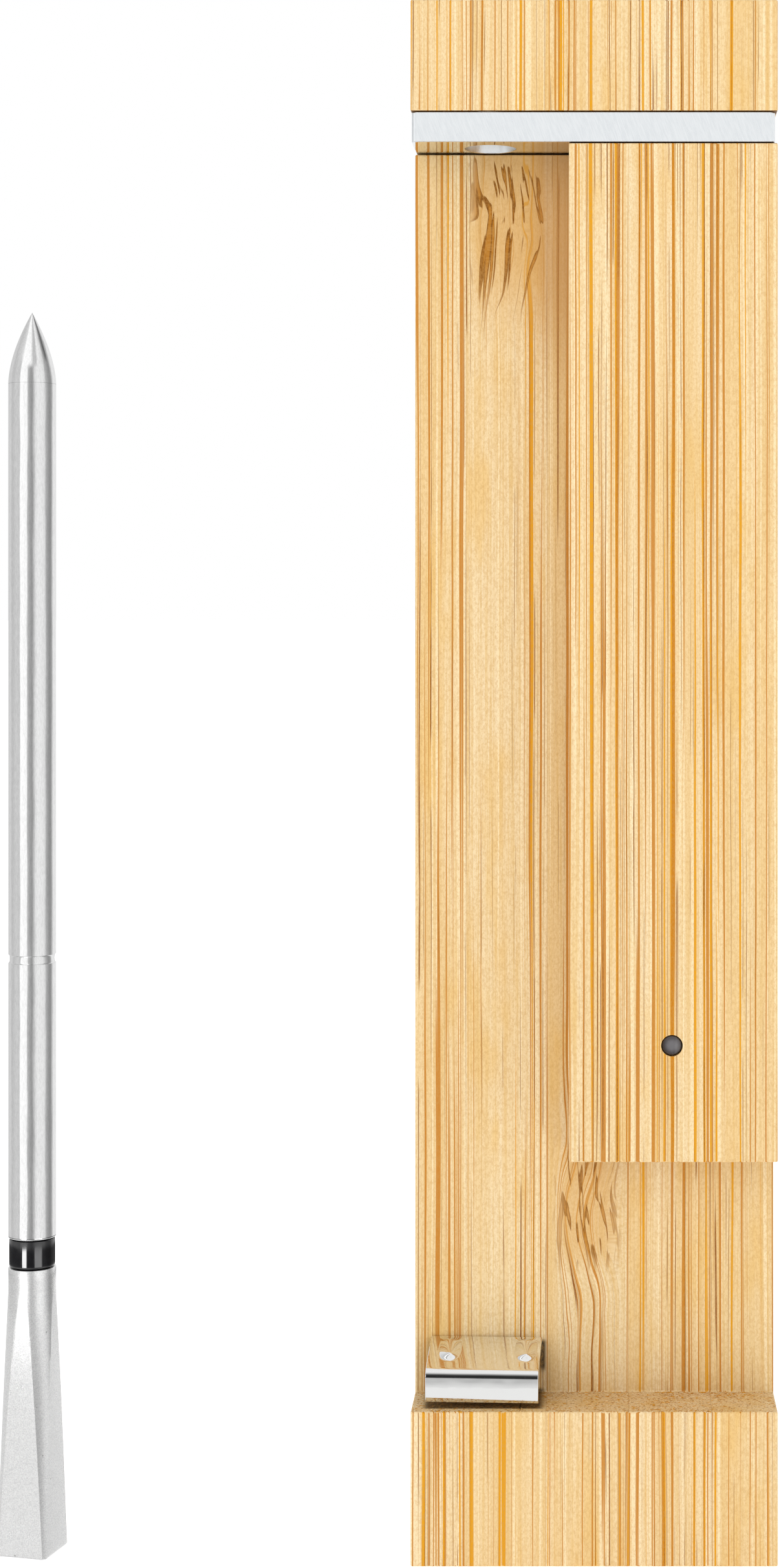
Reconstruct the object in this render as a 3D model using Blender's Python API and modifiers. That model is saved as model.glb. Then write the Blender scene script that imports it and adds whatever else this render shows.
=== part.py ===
"""Wireless meat thermometer with its bamboo charging block.

The block stands upright on its base and the probe stands on its own flat end beside it.
Metres, +Z up, the block's front faces -Y, and the origin is the middle of the block's base.
"""

import math

import bmesh
import bpy
from mathutils import Matrix, Vector

MM = 0.001

# ---------------------------------------------------------------- driving dimensions

# Bamboo block
BLOCK_WIDTH = 38 * MM
BLOCK_DEPTH = 30 * MM
BLOCK_HEIGHT = 162 * MM
EDGE_ROUND = 0.15 * MM
FRONT = -BLOCK_DEPTH / 2
BACK = BLOCK_DEPTH / 2
SIDE = BLOCK_WIDTH / 2

# Metal contact band between the body and the top cap
SEAM = 0.1 * MM
BAND_BOTTOM = 147.3 * MM
BAND_TOP = BAND_BOTTOM + 3.1 * MM
BAND_LEFT = -SIDE + 0.1 * MM
BAND_RIGHT = SIDE - 0.25 * MM
BAND_INSET = 0.05 * MM
BAND_CORNER = 0.6 * MM

# L-shaped recess in the front: a column for the probe on the left, and a low field on the right
RECESS_DEPTH = 7.4 * MM
RECESS_WALL = FRONT + RECESS_DEPTH
LEDGE_TOP = 16 * MM
PANEL_LEFT = -2.6 * MM
PANEL_BOTTOM = 41.8 * MM

# Dock: where the probe's tip goes up into the band, above the spring clip
DOCK_X = -10.9 * MM
DOCK_Y = FRONT + 4.75 * MM
DOCK_HOLE_RADIUS = 2.7 * MM
CUP_SEAT = 1.7 * MM

# Cavity in the back of the body, and the cover that closes it
CAVITY_SIDE = 12.5 * MM
CAVITY_FLOOR = RECESS_WALL + 3 * MM
CAVITY_BOTTOM = 17 * MM
CAVITY_TOP = 137 * MM
SHELF = BACK - 4 * MM
COVER_SIDE = 16.9 * MM
COVER_BOTTOM = 12 * MM
COVER_TOP = 142 * MM
FIT_GAP = 0.3 * MM

# Loose probe, standing beside the block
PROBE_X = -59.15 * MM
PROBE_Y = -9.85 * MM
PROBE_TURN = math.radians(-14)
PROBE_LENGTH = 130.2 * MM
SHAFT_RADIUS = 2.475 * MM
SHAFT_BORE = 2.15 * MM
SHAFT_BOTTOM = 33 * MM
SHAFT_TOP = 122.7 * MM
TIP_SEAM = 0.02 * MM
OGIVE_POWER = 1.7
RING_RADIUS = 2.38 * MM
HANDLE_TOP = 29.9 * MM
HANDLE_FLARE_TOP = 27.5 * MM
HANDLE_BASE_RADIUS = 3.77 * MM
HANDLE_FLAT_BASE = 2.83 * MM
HANDLE_FLAT_TOP = 2.48 * MM
GROOVE_MIDDLE = 62.3 * MM
GROOVE_DEPTH = 0.14 * MM

# Spring clip under the probe. It sits a little askew, as pressed in.
CLIP_X = -11.38 * MM
CLIP_TURN = math.radians(-3)
CLIP_WIDTH = 11.8 * MM
CLIP_SHEET = 0.35 * MM
CLIP_TAIL_X = -9.4 * MM
CLIP_TAIL_WIDTH = 3.6 * MM
CLIP_TAIL_Z = LEDGE_TOP + 3.75 * MM
CLIP_TAIL_PLAY = 0.6 * MM
CLIP_HIGH = LEDGE_TOP + 5.85 * MM
CLIP_START_Y = RECESS_WALL - 0.42 * MM
CLIP_LIP_Y = FRONT + 1.4 * MM
CLIP_LIP_BOTTOM = LEDGE_TOP + 0.4 * MM
CLIP_SLOPE = math.radians(23)
CLIP_BEND = 0.85 * MM
CLIP_PIVOT = (CLIP_X, RECESS_WALL, CLIP_TAIL_Z)
RIB_X = (CLIP_X - 3.65 * MM, CLIP_X + 4.35 * MM)
RIB_ALONG = 2.2 * MM
RIB_HALF = (0.95 * MM, 1.95 * MM, 0.55 * MM)
TERMINAL_SCREW_Z = 24.6 * MM

# Status light in the raised panel
LIGHT_X = 8.05 * MM
LIGHT_Z = 53.85 * MM
LIGHT_HOLE = 1.12 * MM
PIPE_RADIUS = 1 * MM

# Electronics tray, its circuit board and its battery bay
TRAY_WALL = 1.2 * MM
TRAY_SIDE = CAVITY_SIDE - FIT_GAP
TRAY_FLOOR = CAVITY_FLOOR + FIT_GAP
TRAY_RIM = 10.4 * MM
TRAY_BOTTOM = 27.3 * MM
TRAY_TOP = CAVITY_TOP - FIT_GAP
LOW_WALL = 6.4 * MM
BOARD_FRONT = 2.2 * MM
BOARD_BACK = BOARD_FRONT + 1 * MM
BOARD_SIDE = 10.6 * MM
BOARD_BOTTOM = 30 * MM
BOARD_TOP = 78 * MM
BOARD_HOLES = [(x * MM, z * MM) for z in (33, 75) for x in (-8.2, 8.2)]
TRAY_HOLES = [(x * MM, z * MM) for z in (81, 133) for x in (-9.2, 9.2)]
PARTITION = 83.4 * MM
CELL_RADIUS = 5 * MM
CELL_Y = 2.9 * MM
CELL_BOTTOM = 89.5 * MM
CELL_TOP = 133 * MM

# Check button in the back
BUTTON_Z = 44 * MM
BUTTON_RADIUS = 3.3 * MM
BUTTON_STEM_LOW = 7.8 * MM
SWITCH_TOP = 6.9 * MM

# Magnets in the cover, over steel keepers in the body
KEEPERS = [(x * MM, z * MM) for z in (20, 134) for x in (-14.7, 14.7)]
KEEPER_RADIUS = 2 * MM

# Dowels that hold the top cap and the band on the body
DOWELS = [(13 * MM, -8 * MM), (-13 * MM, 8 * MM)]
DOWEL_RADIUS = 1.5 * MM

# Lead from the band down to the board
LEAD_X = -8.6 * MM
LEAD_RADIUS = 0.55 * MM

# ---------------------------------------------------------------- scene, collections and materials

COLOURS = {
    "bamboo": ((0.82, 0.58, 0.30), 0.55, 0.0),
    "brushed_band": ((0.78, 0.80, 0.82), 0.35, 1.0),
    "probe_steel": ((0.74, 0.74, 0.74), 0.25, 1.0),
    "black_ceramic": ((0.02, 0.02, 0.02), 0.12, 0.0),
    "spring_steel": ((0.80, 0.80, 0.78), 0.12, 1.0),
    "black_plastic": ((0.03, 0.03, 0.03), 0.5, 0.0),
    "smoked_plastic": ((0.06, 0.06, 0.07), 0.3, 0.0),
    "circuit_green": ((0.03, 0.20, 0.09), 0.4, 0.0),
    "chip_black": ((0.04, 0.04, 0.045), 0.4, 0.0),
    "bright_metal": ((0.72, 0.72, 0.70), 0.25, 1.0),
    "brass": ((0.78, 0.60, 0.30), 0.3, 1.0),
    "cell_sleeve": ((0.10, 0.16, 0.32), 0.35, 0.0),
    "wire_red": ((0.55, 0.04, 0.03), 0.4, 0.0),
    "lamp_white": ((0.85, 0.85, 0.80), 0.3, 0.0),
}


def clear_scene():
    for obj in list(bpy.data.objects):
        bpy.data.objects.remove(obj)


def new_collection(name):
    collection = bpy.data.collections.new(name)
    bpy.context.scene.collection.children.link(collection)
    return collection


def make_materials():
    made = {}
    for name, (colour, roughness, metallic) in COLOURS.items():
        material = bpy.data.materials.new(name)
        material.use_nodes = True
        shader = material.node_tree.nodes["Principled BSDF"]
        shader.inputs["Base Color"].default_value = (*colour, 1)
        shader.inputs["Roughness"].default_value = roughness
        shader.inputs["Metallic"].default_value = metallic
        made[name] = material
    return made


clear_scene()
PARTS = new_collection("meat_thermometer")
CUTTERS = new_collection("cutters")
MATERIALS = make_materials()

# ---------------------------------------------------------------- shapes


def link(name, data, material=None, parent=None):
    """An object for the parts when it has a material, and for the cutters when it has none."""
    obj = bpy.data.objects.new(name, data)
    if material:
        PARTS.objects.link(obj)
        data.materials.append(MATERIALS[material])
    else:
        CUTTERS.objects.link(obj)
        obj.hide_render = True
        obj.display_type = "WIRE"
    obj.parent = parent
    return obj


def place(obj, x, y, z):
    """Puts the object at a point of the row frame, whatever its parent's own place."""
    offset = obj.parent.location if obj.parent and obj.parent["holds_row_frame"] else Vector()
    obj.location = Vector((x, y, z)) - offset
    return obj


def box(name, x_span, y_span, z_span, material=None, parent=None):
    spans = (x_span, y_span, z_span)
    size = [high - low for low, high in spans]
    work = bmesh.new()
    bmesh.ops.create_cube(work, size=1, matrix=Matrix.Diagonal((*size, 1)))
    mesh = bpy.data.meshes.new(name)
    work.to_mesh(mesh)
    work.free()
    middle = [(low + high) / 2 for low, high in spans]
    return place(link(name, mesh, material, parent), *middle)


AXES = {
    "X": Matrix.Rotation(math.pi / 2, 4, "Y"),
    "Y": Matrix.Rotation(-math.pi / 2, 4, "X"),
    "Z": Matrix.Identity(4),
}


def rod(name, radius, axis, start, length, material=None, parent=None, segments=32, end_radius=None):
    """A cylinder, or a cone where end_radius is given, from start along +axis."""
    work = bmesh.new()
    bmesh.ops.create_cone(
        work,
        cap_ends=True,
        segments=segments,
        radius1=radius,
        radius2=radius if end_radius is None else end_radius,
        depth=length,
        matrix=AXES[axis] @ Matrix.Translation((0, 0, length / 2)),
    )
    mesh = bpy.data.meshes.new(name)
    work.to_mesh(mesh)
    work.free()
    if material:
        soften(mesh)
    return place(link(name, mesh, material, parent), *start)


def soften(mesh):
    mesh.shade_smooth()
    mesh.set_sharp_from_angle(angle=math.radians(35))


def turned(name, profile, material=None, parent=None, steps=32, loop=False, start=(0, 0, 0), axis="Z"):
    """Turns (radius, height) points about the axis. They run down the outer side."""
    work = bmesh.new()
    points = [work.verts.new((radius, 0, height)) for radius, height in profile]
    for a, b in zip(points, points[1:] + points[:1] if loop else points[1:]):
        work.edges.new((a, b))
    mesh = bpy.data.meshes.new(name)
    work.to_mesh(mesh)
    work.free()
    obj = place(link(name, mesh, material, parent), *start)
    obj.rotation_euler = AXES[axis].to_euler()
    screw = obj.modifiers.new("turn", "SCREW")
    screw.steps = screw.render_steps = steps
    screw.use_merge_vertices = True
    screw.merge_threshold = 0.01 * MM
    screw.use_smooth_shade = True
    return obj


def wire(name, points, radius, material, parent=None, bevel_resolution=2):
    curve = bpy.data.curves.new(name, "CURVE")
    curve.dimensions = "3D"
    curve.bevel_depth = radius
    curve.bevel_resolution = bevel_resolution
    curve.use_fill_caps = True
    spline = curve.splines.new("POLY")
    spline.points.add(len(points) - 1)
    for target, point in zip(spline.points, points):
        target.co = (*point, 1)
        target.radius = 1
    return link(name, curve, material, parent)


def smooth_path(points, per_span=5):
    """A Catmull-Rom curve through the points, for a lead's route."""
    ends = [points[0], *points, points[-1]]
    path = []
    for p0, p1, p2, p3 in zip(ends, ends[1:], ends[2:], ends[3:]):
        a, b, c, d = (Vector(p) for p in (p0, p1, p2, p3))
        for step in range(per_span):
            t = step / per_span
            path.append(
                0.5 * (2 * b + (c - a) * t + (2 * a - 5 * b + 4 * c - d) * t * t + (3 * b - a - 3 * c + d) * t**3)
            )
    return [*path, Vector(points[-1])]


def as_mesh(obj):
    """The evaluated object as a mesh object of the same name and place, with its seams welded."""
    bpy.context.view_layer.update()
    graph = bpy.context.evaluated_depsgraph_get()
    mesh = bpy.data.meshes.new_from_object(obj.evaluated_get(graph))
    work = bmesh.new()
    work.from_mesh(mesh)
    bmesh.ops.remove_doubles(work, verts=work.verts, dist=0.002 * MM)
    bmesh.ops.recalc_face_normals(work, faces=work.faces)
    work.to_mesh(mesh)
    work.free()
    name, parent, collection = obj.name, obj.parent, obj.users_collection[0]
    basis = obj.matrix_basis.copy()
    hidden = obj.hide_render
    bpy.data.objects.remove(obj)
    made = bpy.data.objects.new(name, mesh)
    collection.objects.link(made)
    made.parent = parent
    made.matrix_basis = basis
    made.hide_render = hidden
    return made


def boolean(obj, operation, *others):
    for other in others:
        modifier = obj.modifiers.new(other.name, "BOOLEAN")
        modifier.operation = operation
        modifier.object = other
        modifier.solver = "EXACT"
    return obj


def cut(obj, *cutters):
    return boolean(obj, "DIFFERENCE", *cutters)


def round_edges(obj, width, segments=2, angle=60):
    bevel = obj.modifiers.new("round_edges", "BEVEL")
    bevel.width = width
    bevel.segments = segments
    bevel.limit_method = "ANGLE"
    bevel.angle_limit = math.radians(angle)
    bevel.use_clamp_overlap = True
    return obj


def carrier(name, location, turn=0.0, holds_row_frame=True):
    """An empty on a joint's axis, for the pieces that move with it."""
    empty = bpy.data.objects.new(name, None)
    PARTS.objects.link(empty)
    empty.location = location
    empty.rotation_euler = (0, 0, turn)
    empty["holds_row_frame"] = holds_row_frame
    return empty


def screw(name, start, axis_sign, head_radius, shank_radius, shank_length, head_height):
    """A pan-head screw along Y with a driver slot. Its head's underside is at start."""
    profile = [
        (0, head_height),
        (head_radius * 0.7, head_height),
        (head_radius, head_height * 0.5),
        (head_radius, 0),
        (shank_radius, 0),
        (shank_radius, -shank_length + shank_radius),
        (0, -shank_length),
    ]
    piece = turned(name, profile, "bright_metal", steps=16, start=start, axis="Y")
    piece.rotation_euler = Matrix.Rotation(-axis_sign * math.pi / 2, 4, "X").to_euler()
    x, y, z = start
    outside = y + axis_sign * head_height
    inside = outside - axis_sign * 0.4 * head_height
    slot = box(
        name + "_slot",
        (x - head_radius * 0.75, x + head_radius * 0.75),
        sorted((inside, outside + axis_sign * head_height)),
        (z - 0.16 * head_radius, z + 0.16 * head_radius),
    )
    return cut(piece, slot)


# ---------------------------------------------------------------- bamboo block


def disc_pocket(name, x, z, radius, y_span):
    low, high = y_span
    return rod(name, radius, "Y", (x, low, z), high - low)


def bamboo_body():
    body = box("bamboo_body", (-SIDE, SIDE), (FRONT, BACK), (0, BAND_BOTTOM - SEAM), "bamboo")
    over = 5 * MM
    column = box(
        "probe_column_cutter",
        (-SIDE - over, PANEL_LEFT),
        (FRONT - over, RECESS_WALL),
        (LEDGE_TOP, BAND_BOTTOM + over),
    )
    field = box(
        "low_field_cutter",
        (PANEL_LEFT - over, SIDE + over),
        (FRONT - over, RECESS_WALL),
        (LEDGE_TOP, PANEL_BOTTOM),
    )
    cut(body, column, field)
    round_edges(body, EDGE_ROUND)
    rebate = box(
        "cover_rebate_cutter",
        (-COVER_SIDE - FIT_GAP, COVER_SIDE + FIT_GAP),
        (SHELF, BACK + over),
        (COVER_BOTTOM - FIT_GAP, COVER_TOP + FIT_GAP),
    )
    cavity = box(
        "cavity_cutter",
        (-CAVITY_SIDE, CAVITY_SIDE),
        (CAVITY_FLOOR, SHELF + over),
        (CAVITY_BOTTOM, CAVITY_TOP),
    )
    slot_half = CLIP_TAIL_WIDTH / 2 + CLIP_TAIL_PLAY
    slot = box(
        "clip_slot_cutter",
        (CLIP_TAIL_X - slot_half, CLIP_TAIL_X + slot_half),
        (RECESS_WALL - over / 2, CAVITY_FLOOR + over / 2),
        (CLIP_TAIL_Z - 0.45 * MM, CLIP_TAIL_Z + 0.65 * MM),
    )
    light_hole = disc_pocket(
        "light_hole_cutter", LIGHT_X, LIGHT_Z, LIGHT_HOLE, (FRONT - over, CAVITY_FLOOR + over)
    )
    lead_channel = rod("lead_channel_cutter", 1.2 * MM, "Z", (LEAD_X, 4 * MM, CAVITY_TOP - over), 20 * MM)
    cut(body, rebate, cavity, slot, light_hole, lead_channel)
    for index, (x, y) in enumerate(DOWELS, 1):
        hole = rod(f"dowel_hole_{index}", DOWEL_RADIUS + FIT_GAP, "Z", (x, y, 140.5 * MM), 20 * MM, segments=24)
        cut(body, hole)
    for index, (x, z) in enumerate(KEEPERS, 1):
        cut(body, disc_pocket(f"keeper_pocket_{index}", x, z, KEEPER_RADIUS + FIT_GAP, (SHELF - 1.9 * MM, SHELF + over)))
    pilots = [*TRAY_HOLES, (CLIP_TAIL_X, TERMINAL_SCREW_Z)]
    for index, (x, z) in enumerate(pilots, 1):
        cut(body, disc_pocket(f"pilot_hole_{index}", x, z, 1.1 * MM, (CAVITY_FLOOR - 2.1 * MM, CAVITY_FLOOR + over)))
    return body


def top_cap():
    cap = box("top_cap", (-SIDE, SIDE), (FRONT, BACK), (BAND_TOP + SEAM, BLOCK_HEIGHT), "bamboo")
    round_edges(cap, EDGE_ROUND)
    pocket = rod("cup_pocket_cutter", 4.3 * MM, "Z", (DOCK_X, DOCK_Y, BAND_TOP - MM), 6.4 * MM)
    cut(cap, pocket)
    for index, (x, y) in enumerate(DOWELS, 1):
        hole = rod(f"cap_hole_{index}", DOWEL_RADIUS + FIT_GAP, "Z", (x, y, BAND_TOP - MM), 7 * MM, segments=24)
        cut(cap, hole)
    return cap


def contact_band():
    """A metal plate through the whole block, so its edge shows as a band and its underside takes the tip."""
    half_depth = BACK - BAND_INSET
    band = box(
        "contact_band", (BAND_LEFT, BAND_RIGHT), (-half_depth, half_depth), (BAND_BOTTOM, BAND_TOP), "brushed_band"
    )
    upright = [edge for edge in band.data.edges if len({band.data.vertices[v].co.z > 0 for v in edge.vertices}) == 2]
    weights = band.data.attributes.new("bevel_weight_edge", "FLOAT", "EDGE")
    for edge in upright:
        weights.data[edge.index].value = 1
    bevel = band.modifiers.new("corner_round", "BEVEL")
    bevel.width = BAND_CORNER
    bevel.segments = 4
    bevel.limit_method = "WEIGHT"
    round_edges(band, 0.12 * MM, segments=1)
    hole = rod("tip_hole_cutter", DOCK_HOLE_RADIUS, "Z", (DOCK_X, DOCK_Y, BAND_BOTTOM - MM), 6 * MM, segments=40)
    cut(band, hole)
    for index, (x, y) in enumerate(DOWELS, 1):
        passage = rod(
            f"band_hole_{index}", DOWEL_RADIUS + FIT_GAP, "Z", (x, y, BAND_BOTTOM - MM), 6 * MM, segments=24
        )
        cut(band, passage)
    return band


def tip_contact_cup():
    """The turned seat for the tip, in the top cap above the band's hole."""
    low, high = 0.2 * MM, 5 * MM
    profile = [
        (0, high),
        (3.4 * MM, high),
        (4 * MM, high - 0.6 * MM),
        (4 * MM, low),
        (DOCK_HOLE_RADIUS, low),
        (1.3 * MM, 0.9 * MM),
        (0.6 * MM, 1.4 * MM),
        (0, CUP_SEAT),
    ]
    return turned("tip_contact_cup", profile, "spring_steel", start=(DOCK_X, DOCK_Y, BAND_TOP))


def cap_dowels():
    for index, (x, y) in enumerate(DOWELS, 1):
        profile = [
            (0, 15 * MM),
            (DOWEL_RADIUS - 0.4 * MM, 15 * MM),
            (DOWEL_RADIUS, 14.6 * MM),
            (DOWEL_RADIUS, 0.4 * MM),
            (DOWEL_RADIUS - 0.4 * MM, 0),
            (0, 0),
        ]
        turned(f"cap_dowel_{index}", profile, "bright_metal", steps=20, start=(x, y, 141 * MM))


def light_pipe():
    recess = 0.15 * MM
    profile = [
        (0, 0),
        (0.6 * PIPE_RADIUS, -0.03 * MM),
        (PIPE_RADIUS, -0.12 * MM),
        (PIPE_RADIUS, FRONT + recess - 0.9 * MM),
        (0, FRONT + recess - 0.9 * MM),
    ]
    pipe = turned("light_pipe", profile, "smoked_plastic", steps=24, start=(LIGHT_X, FRONT + recess, LIGHT_Z))
    pipe.rotation_euler = Matrix.Rotation(math.pi / 2, 4, "X").to_euler()
    return pipe


# ---------------------------------------------------------------- spring clip


def clip_path():
    """The leaf's middle line in (y, z): from the wall down the slope, round the bend and down the lip."""
    start_y = CLIP_START_Y
    points = [(start_y, CLIP_HIGH)]
    lip_y = CLIP_LIP_Y + CLIP_SHEET / 2
    turn = math.pi / 2 - CLIP_SLOPE
    slope_run = start_y - lip_y - CLIP_BEND * (1 - math.cos(turn))
    bend_z = CLIP_HIGH - slope_run * math.tan(CLIP_SLOPE)
    middle_y = lip_y + CLIP_BEND
    middle_z = bend_z - CLIP_BEND * math.sin(turn)
    steps = 6
    for step in range(steps + 1):
        angle = turn * (1 - step / steps)
        points.append((middle_y - CLIP_BEND * math.cos(angle), middle_z + CLIP_BEND * math.sin(angle)))
    points.append((lip_y, CLIP_LIP_BOTTOM))
    return points


def strip(name, path, width, middle_x, material, parent):
    """A bent sheet: a ribbon along the path, given thickness and made a mesh."""
    curve = bpy.data.curves.new(name, "CURVE")
    curve.dimensions = "2D"
    curve.extrude = width / 2
    curve.fill_mode = "NONE"
    spline = curve.splines.new("POLY")
    spline.points.add(len(path) - 1)
    for target, (y, z) in zip(spline.points, path):
        target.co = (y, z, 0, 1)
    obj = link(name, curve, material, parent)
    place(obj, middle_x, 0, 0)
    # Local X, Y and Z become the row's Y, Z and X.
    obj.rotation_euler = Matrix(((0, 0, 1), (1, 0, 0), (0, 1, 0))).to_euler()
    shell = obj.modifiers.new("sheet", "SOLIDIFY")
    shell.thickness = CLIP_SHEET
    shell.offset = 0
    shell.use_even_offset = True
    return as_mesh(obj)


def clip_rib(name, x, hinge):
    """An embossed rib's ellipsoid, lying in the slope."""
    work = bmesh.new()
    bmesh.ops.create_uvsphere(work, u_segments=16, v_segments=10, radius=1)
    mesh = bpy.data.meshes.new(name)
    work.to_mesh(mesh)
    work.free()
    mesh.transform(Matrix.Diagonal((*RIB_HALF, 1)))
    rib = link(name, mesh, None, hinge)
    rib.rotation_euler = (CLIP_SLOPE, 0, 0)
    run, drop = RIB_ALONG * math.cos(CLIP_SLOPE), RIB_ALONG * math.sin(CLIP_SLOPE)
    return place(rib, x, CLIP_START_Y - run, CLIP_HIGH - drop)


def contact_clip(hinge):
    """The leaf, with a tab bent down behind it and a tail from the tab through the wall."""
    leaf = strip("contact_clip", clip_path(), CLIP_WIDTH, CLIP_X, "spring_steel", hinge)
    half_sheet = CLIP_SHEET / 2
    tail_span = (CLIP_TAIL_X - CLIP_TAIL_WIDTH / 2, CLIP_TAIL_X + CLIP_TAIL_WIDTH / 2)
    tab_y = (CLIP_START_Y - half_sheet, CLIP_START_Y + half_sheet)
    tab = box("clip_tab", tail_span, tab_y, (CLIP_TAIL_Z - half_sheet, CLIP_HIGH), None, hinge)
    tail = box(
        "clip_tail",
        tail_span,
        (CLIP_START_Y, -2.7 * MM),
        (CLIP_TAIL_Z - half_sheet, CLIP_TAIL_Z + half_sheet),
        None,
        hinge,
    )
    ribs = [clip_rib(f"clip_rib_{index}", x, hinge) for index, x in enumerate(RIB_X, 1)]
    return boolean(leaf, "UNION", tab, tail, *ribs)


def clip_terminal():
    """The brass block behind the wall that the clip's tail slides into."""
    block = box("clip_terminal", (-12.1 * MM, -6.4 * MM), (TRAY_FLOOR, -0.6 * MM), (18 * MM, 26.6 * MM), "brass")
    round_edges(block, 0.25 * MM, segments=1)
    mouth_half = CLIP_TAIL_WIDTH / 2 + CLIP_TAIL_PLAY
    mouth = box(
        "terminal_mouth_cutter",
        (CLIP_TAIL_X - mouth_half, CLIP_TAIL_X + mouth_half),
        (CAVITY_FLOOR - MM, -2.2 * MM),
        (CLIP_TAIL_Z - 0.5 * MM, CLIP_TAIL_Z + 0.7 * MM),
    )
    passage = rod("terminal_screw_cutter", 1.1 * MM, "Y", (CLIP_TAIL_X, CAVITY_FLOOR - MM, TERMINAL_SCREW_Z), 8 * MM)
    return cut(block, mouth, passage)


# ---------------------------------------------------------------- electronics


def electronics_tray():
    tray = box(
        "electronics_tray", (-TRAY_SIDE, TRAY_SIDE), (TRAY_FLOOR, TRAY_RIM), (TRAY_BOTTOM, TRAY_TOP), "black_plastic"
    )
    inner_side = TRAY_SIDE - TRAY_WALL
    floor_top = TRAY_FLOOR + TRAY_WALL
    over = 5 * MM
    hollow = box(
        "tray_hollow_cutter",
        (-inner_side, inner_side),
        (floor_top, TRAY_RIM + over),
        (TRAY_BOTTOM + TRAY_WALL, TRAY_TOP - TRAY_WALL),
    )
    cut(tray, hollow)
    sunk = floor_top - 0.3 * MM
    partition = box(
        "tray_partition",
        (-inner_side - 0.3 * MM, inner_side + 0.3 * MM),
        (sunk, LOW_WALL),
        (PARTITION, PARTITION + TRAY_WALL),
    )
    guide = box(
        "button_guide",
        (-inner_side - 0.3 * MM, inner_side + 0.3 * MM),
        (7.6 * MM, 8.8 * MM),
        (BUTTON_Z - 4 * MM, BUTTON_Z + 4 * MM),
    )
    joined = [partition, guide]
    for index, z in enumerate((97 * MM, 125 * MM), 1):
        saddle = box(f"cell_saddle_{index}", (-7 * MM, 7 * MM), (sunk, 1.6 * MM), (z, z + 1.5 * MM))
        joined.append(saddle)
    for index, (x, z) in enumerate(BOARD_HOLES, 1):
        joined.append(disc_pocket(f"board_boss_{index}", x, z, 2 * MM, (sunk, BOARD_FRONT - 0.15 * MM)))
    boolean(tray, "UNION", *joined)
    bed = rod("cell_bed_cutter", 5.6 * MM, "Z", (0, CELL_Y, CELL_BOTTOM), CELL_TOP - CELL_BOTTOM)
    stem_hole = disc_pocket("button_stem_cutter", 0, BUTTON_Z, 2.3 * MM, (7 * MM, 12 * MM))
    pipe_hole = disc_pocket("pipe_hole_cutter", LIGHT_X, LIGHT_Z, 1.6 * MM, (TRAY_FLOOR - over, floor_top + MM))
    cut(tray, bed, stem_hole, pipe_hole)
    for index, (x, z) in enumerate(BOARD_HOLES, 1):
        cut(tray, disc_pocket(f"boss_pilot_{index}", x, z, 0.95 * MM, (-1.2 * MM, BOARD_FRONT + MM)))
    for index, (x, z) in enumerate(TRAY_HOLES, 1):
        cut(tray, disc_pocket(f"tray_hole_{index}", x, z, 1.15 * MM, (TRAY_FLOOR - MM, floor_top + MM)))
    for index, (z, low) in enumerate(((TRAY_BOTTOM, LOW_WALL), (TRAY_TOP - TRAY_WALL, 2.8 * MM)), 1):
        notch = box(
            f"lead_notch_{index}",
            (-inner_side + 0.6 * MM, -6.2 * MM),
            (low, TRAY_RIM + over),
            (z - MM, z + TRAY_WALL + MM),
        )
        cut(tray, notch)
    return tray


def circuit_board():
    board = box(
        "circuit_board", (-BOARD_SIDE, BOARD_SIDE), (BOARD_FRONT, BOARD_BACK), (BOARD_BOTTOM, BOARD_TOP), "circuit_green"
    )
    for index, (x, z) in enumerate(BOARD_HOLES, 1):
        cut(board, disc_pocket(f"board_hole_{index}", x, z, MM, (BOARD_FRONT - MM, BOARD_BACK + MM)))
    return board


def board_component(name, x_span, z_span, height, material, rounding=0.15):
    """A part soldered to the back of the board."""
    foot = BOARD_BACK + SEAM
    piece = box(
        name,
        [x * MM for x in x_span],
        (foot, foot + height * MM),
        [z * MM for z in z_span],
        material,
    )
    return round_edges(piece, rounding * MM, segments=1)


def board_components():
    board_component("radio_module", (-7, 3), (60, 72), 2, "bright_metal", 0.3)
    board_component("memory_chip", (4.6, 9), (61.5, 66), 1, "chip_black")
    board_component("crystal_can", (4.6, 8), (55, 57.4), 0.9, "bright_metal", 0.3)
    board_component("chip_antenna", (-3, 3), (31, 33), 1.1, "lamp_white")
    led_half = 0.8 * MM
    led = box(
        "status_led",
        (LIGHT_X - led_half, LIGHT_X + led_half),
        (BOARD_FRONT - SEAM - 0.9 * MM, BOARD_FRONT - SEAM),
        (LIGHT_Z - led_half, LIGHT_Z + led_half),
        "lamp_white",
    )
    round_edges(led, 0.15 * MM, segments=1)
    foot = BOARD_BACK + SEAM
    switch = box(
        "tact_switch",
        (-3 * MM, 3 * MM),
        (foot, SWITCH_TOP),
        (BUTTON_Z - 3 * MM, BUTTON_Z + 3 * MM),
        "chip_black",
    )
    round_edges(switch, 0.3 * MM, segments=1)
    cut(switch, disc_pocket("plunger_pocket", 0, BUTTON_Z, 1.75 * MM, (SWITCH_TOP - 1.3 * MM, SWITCH_TOP + MM)))


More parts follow.
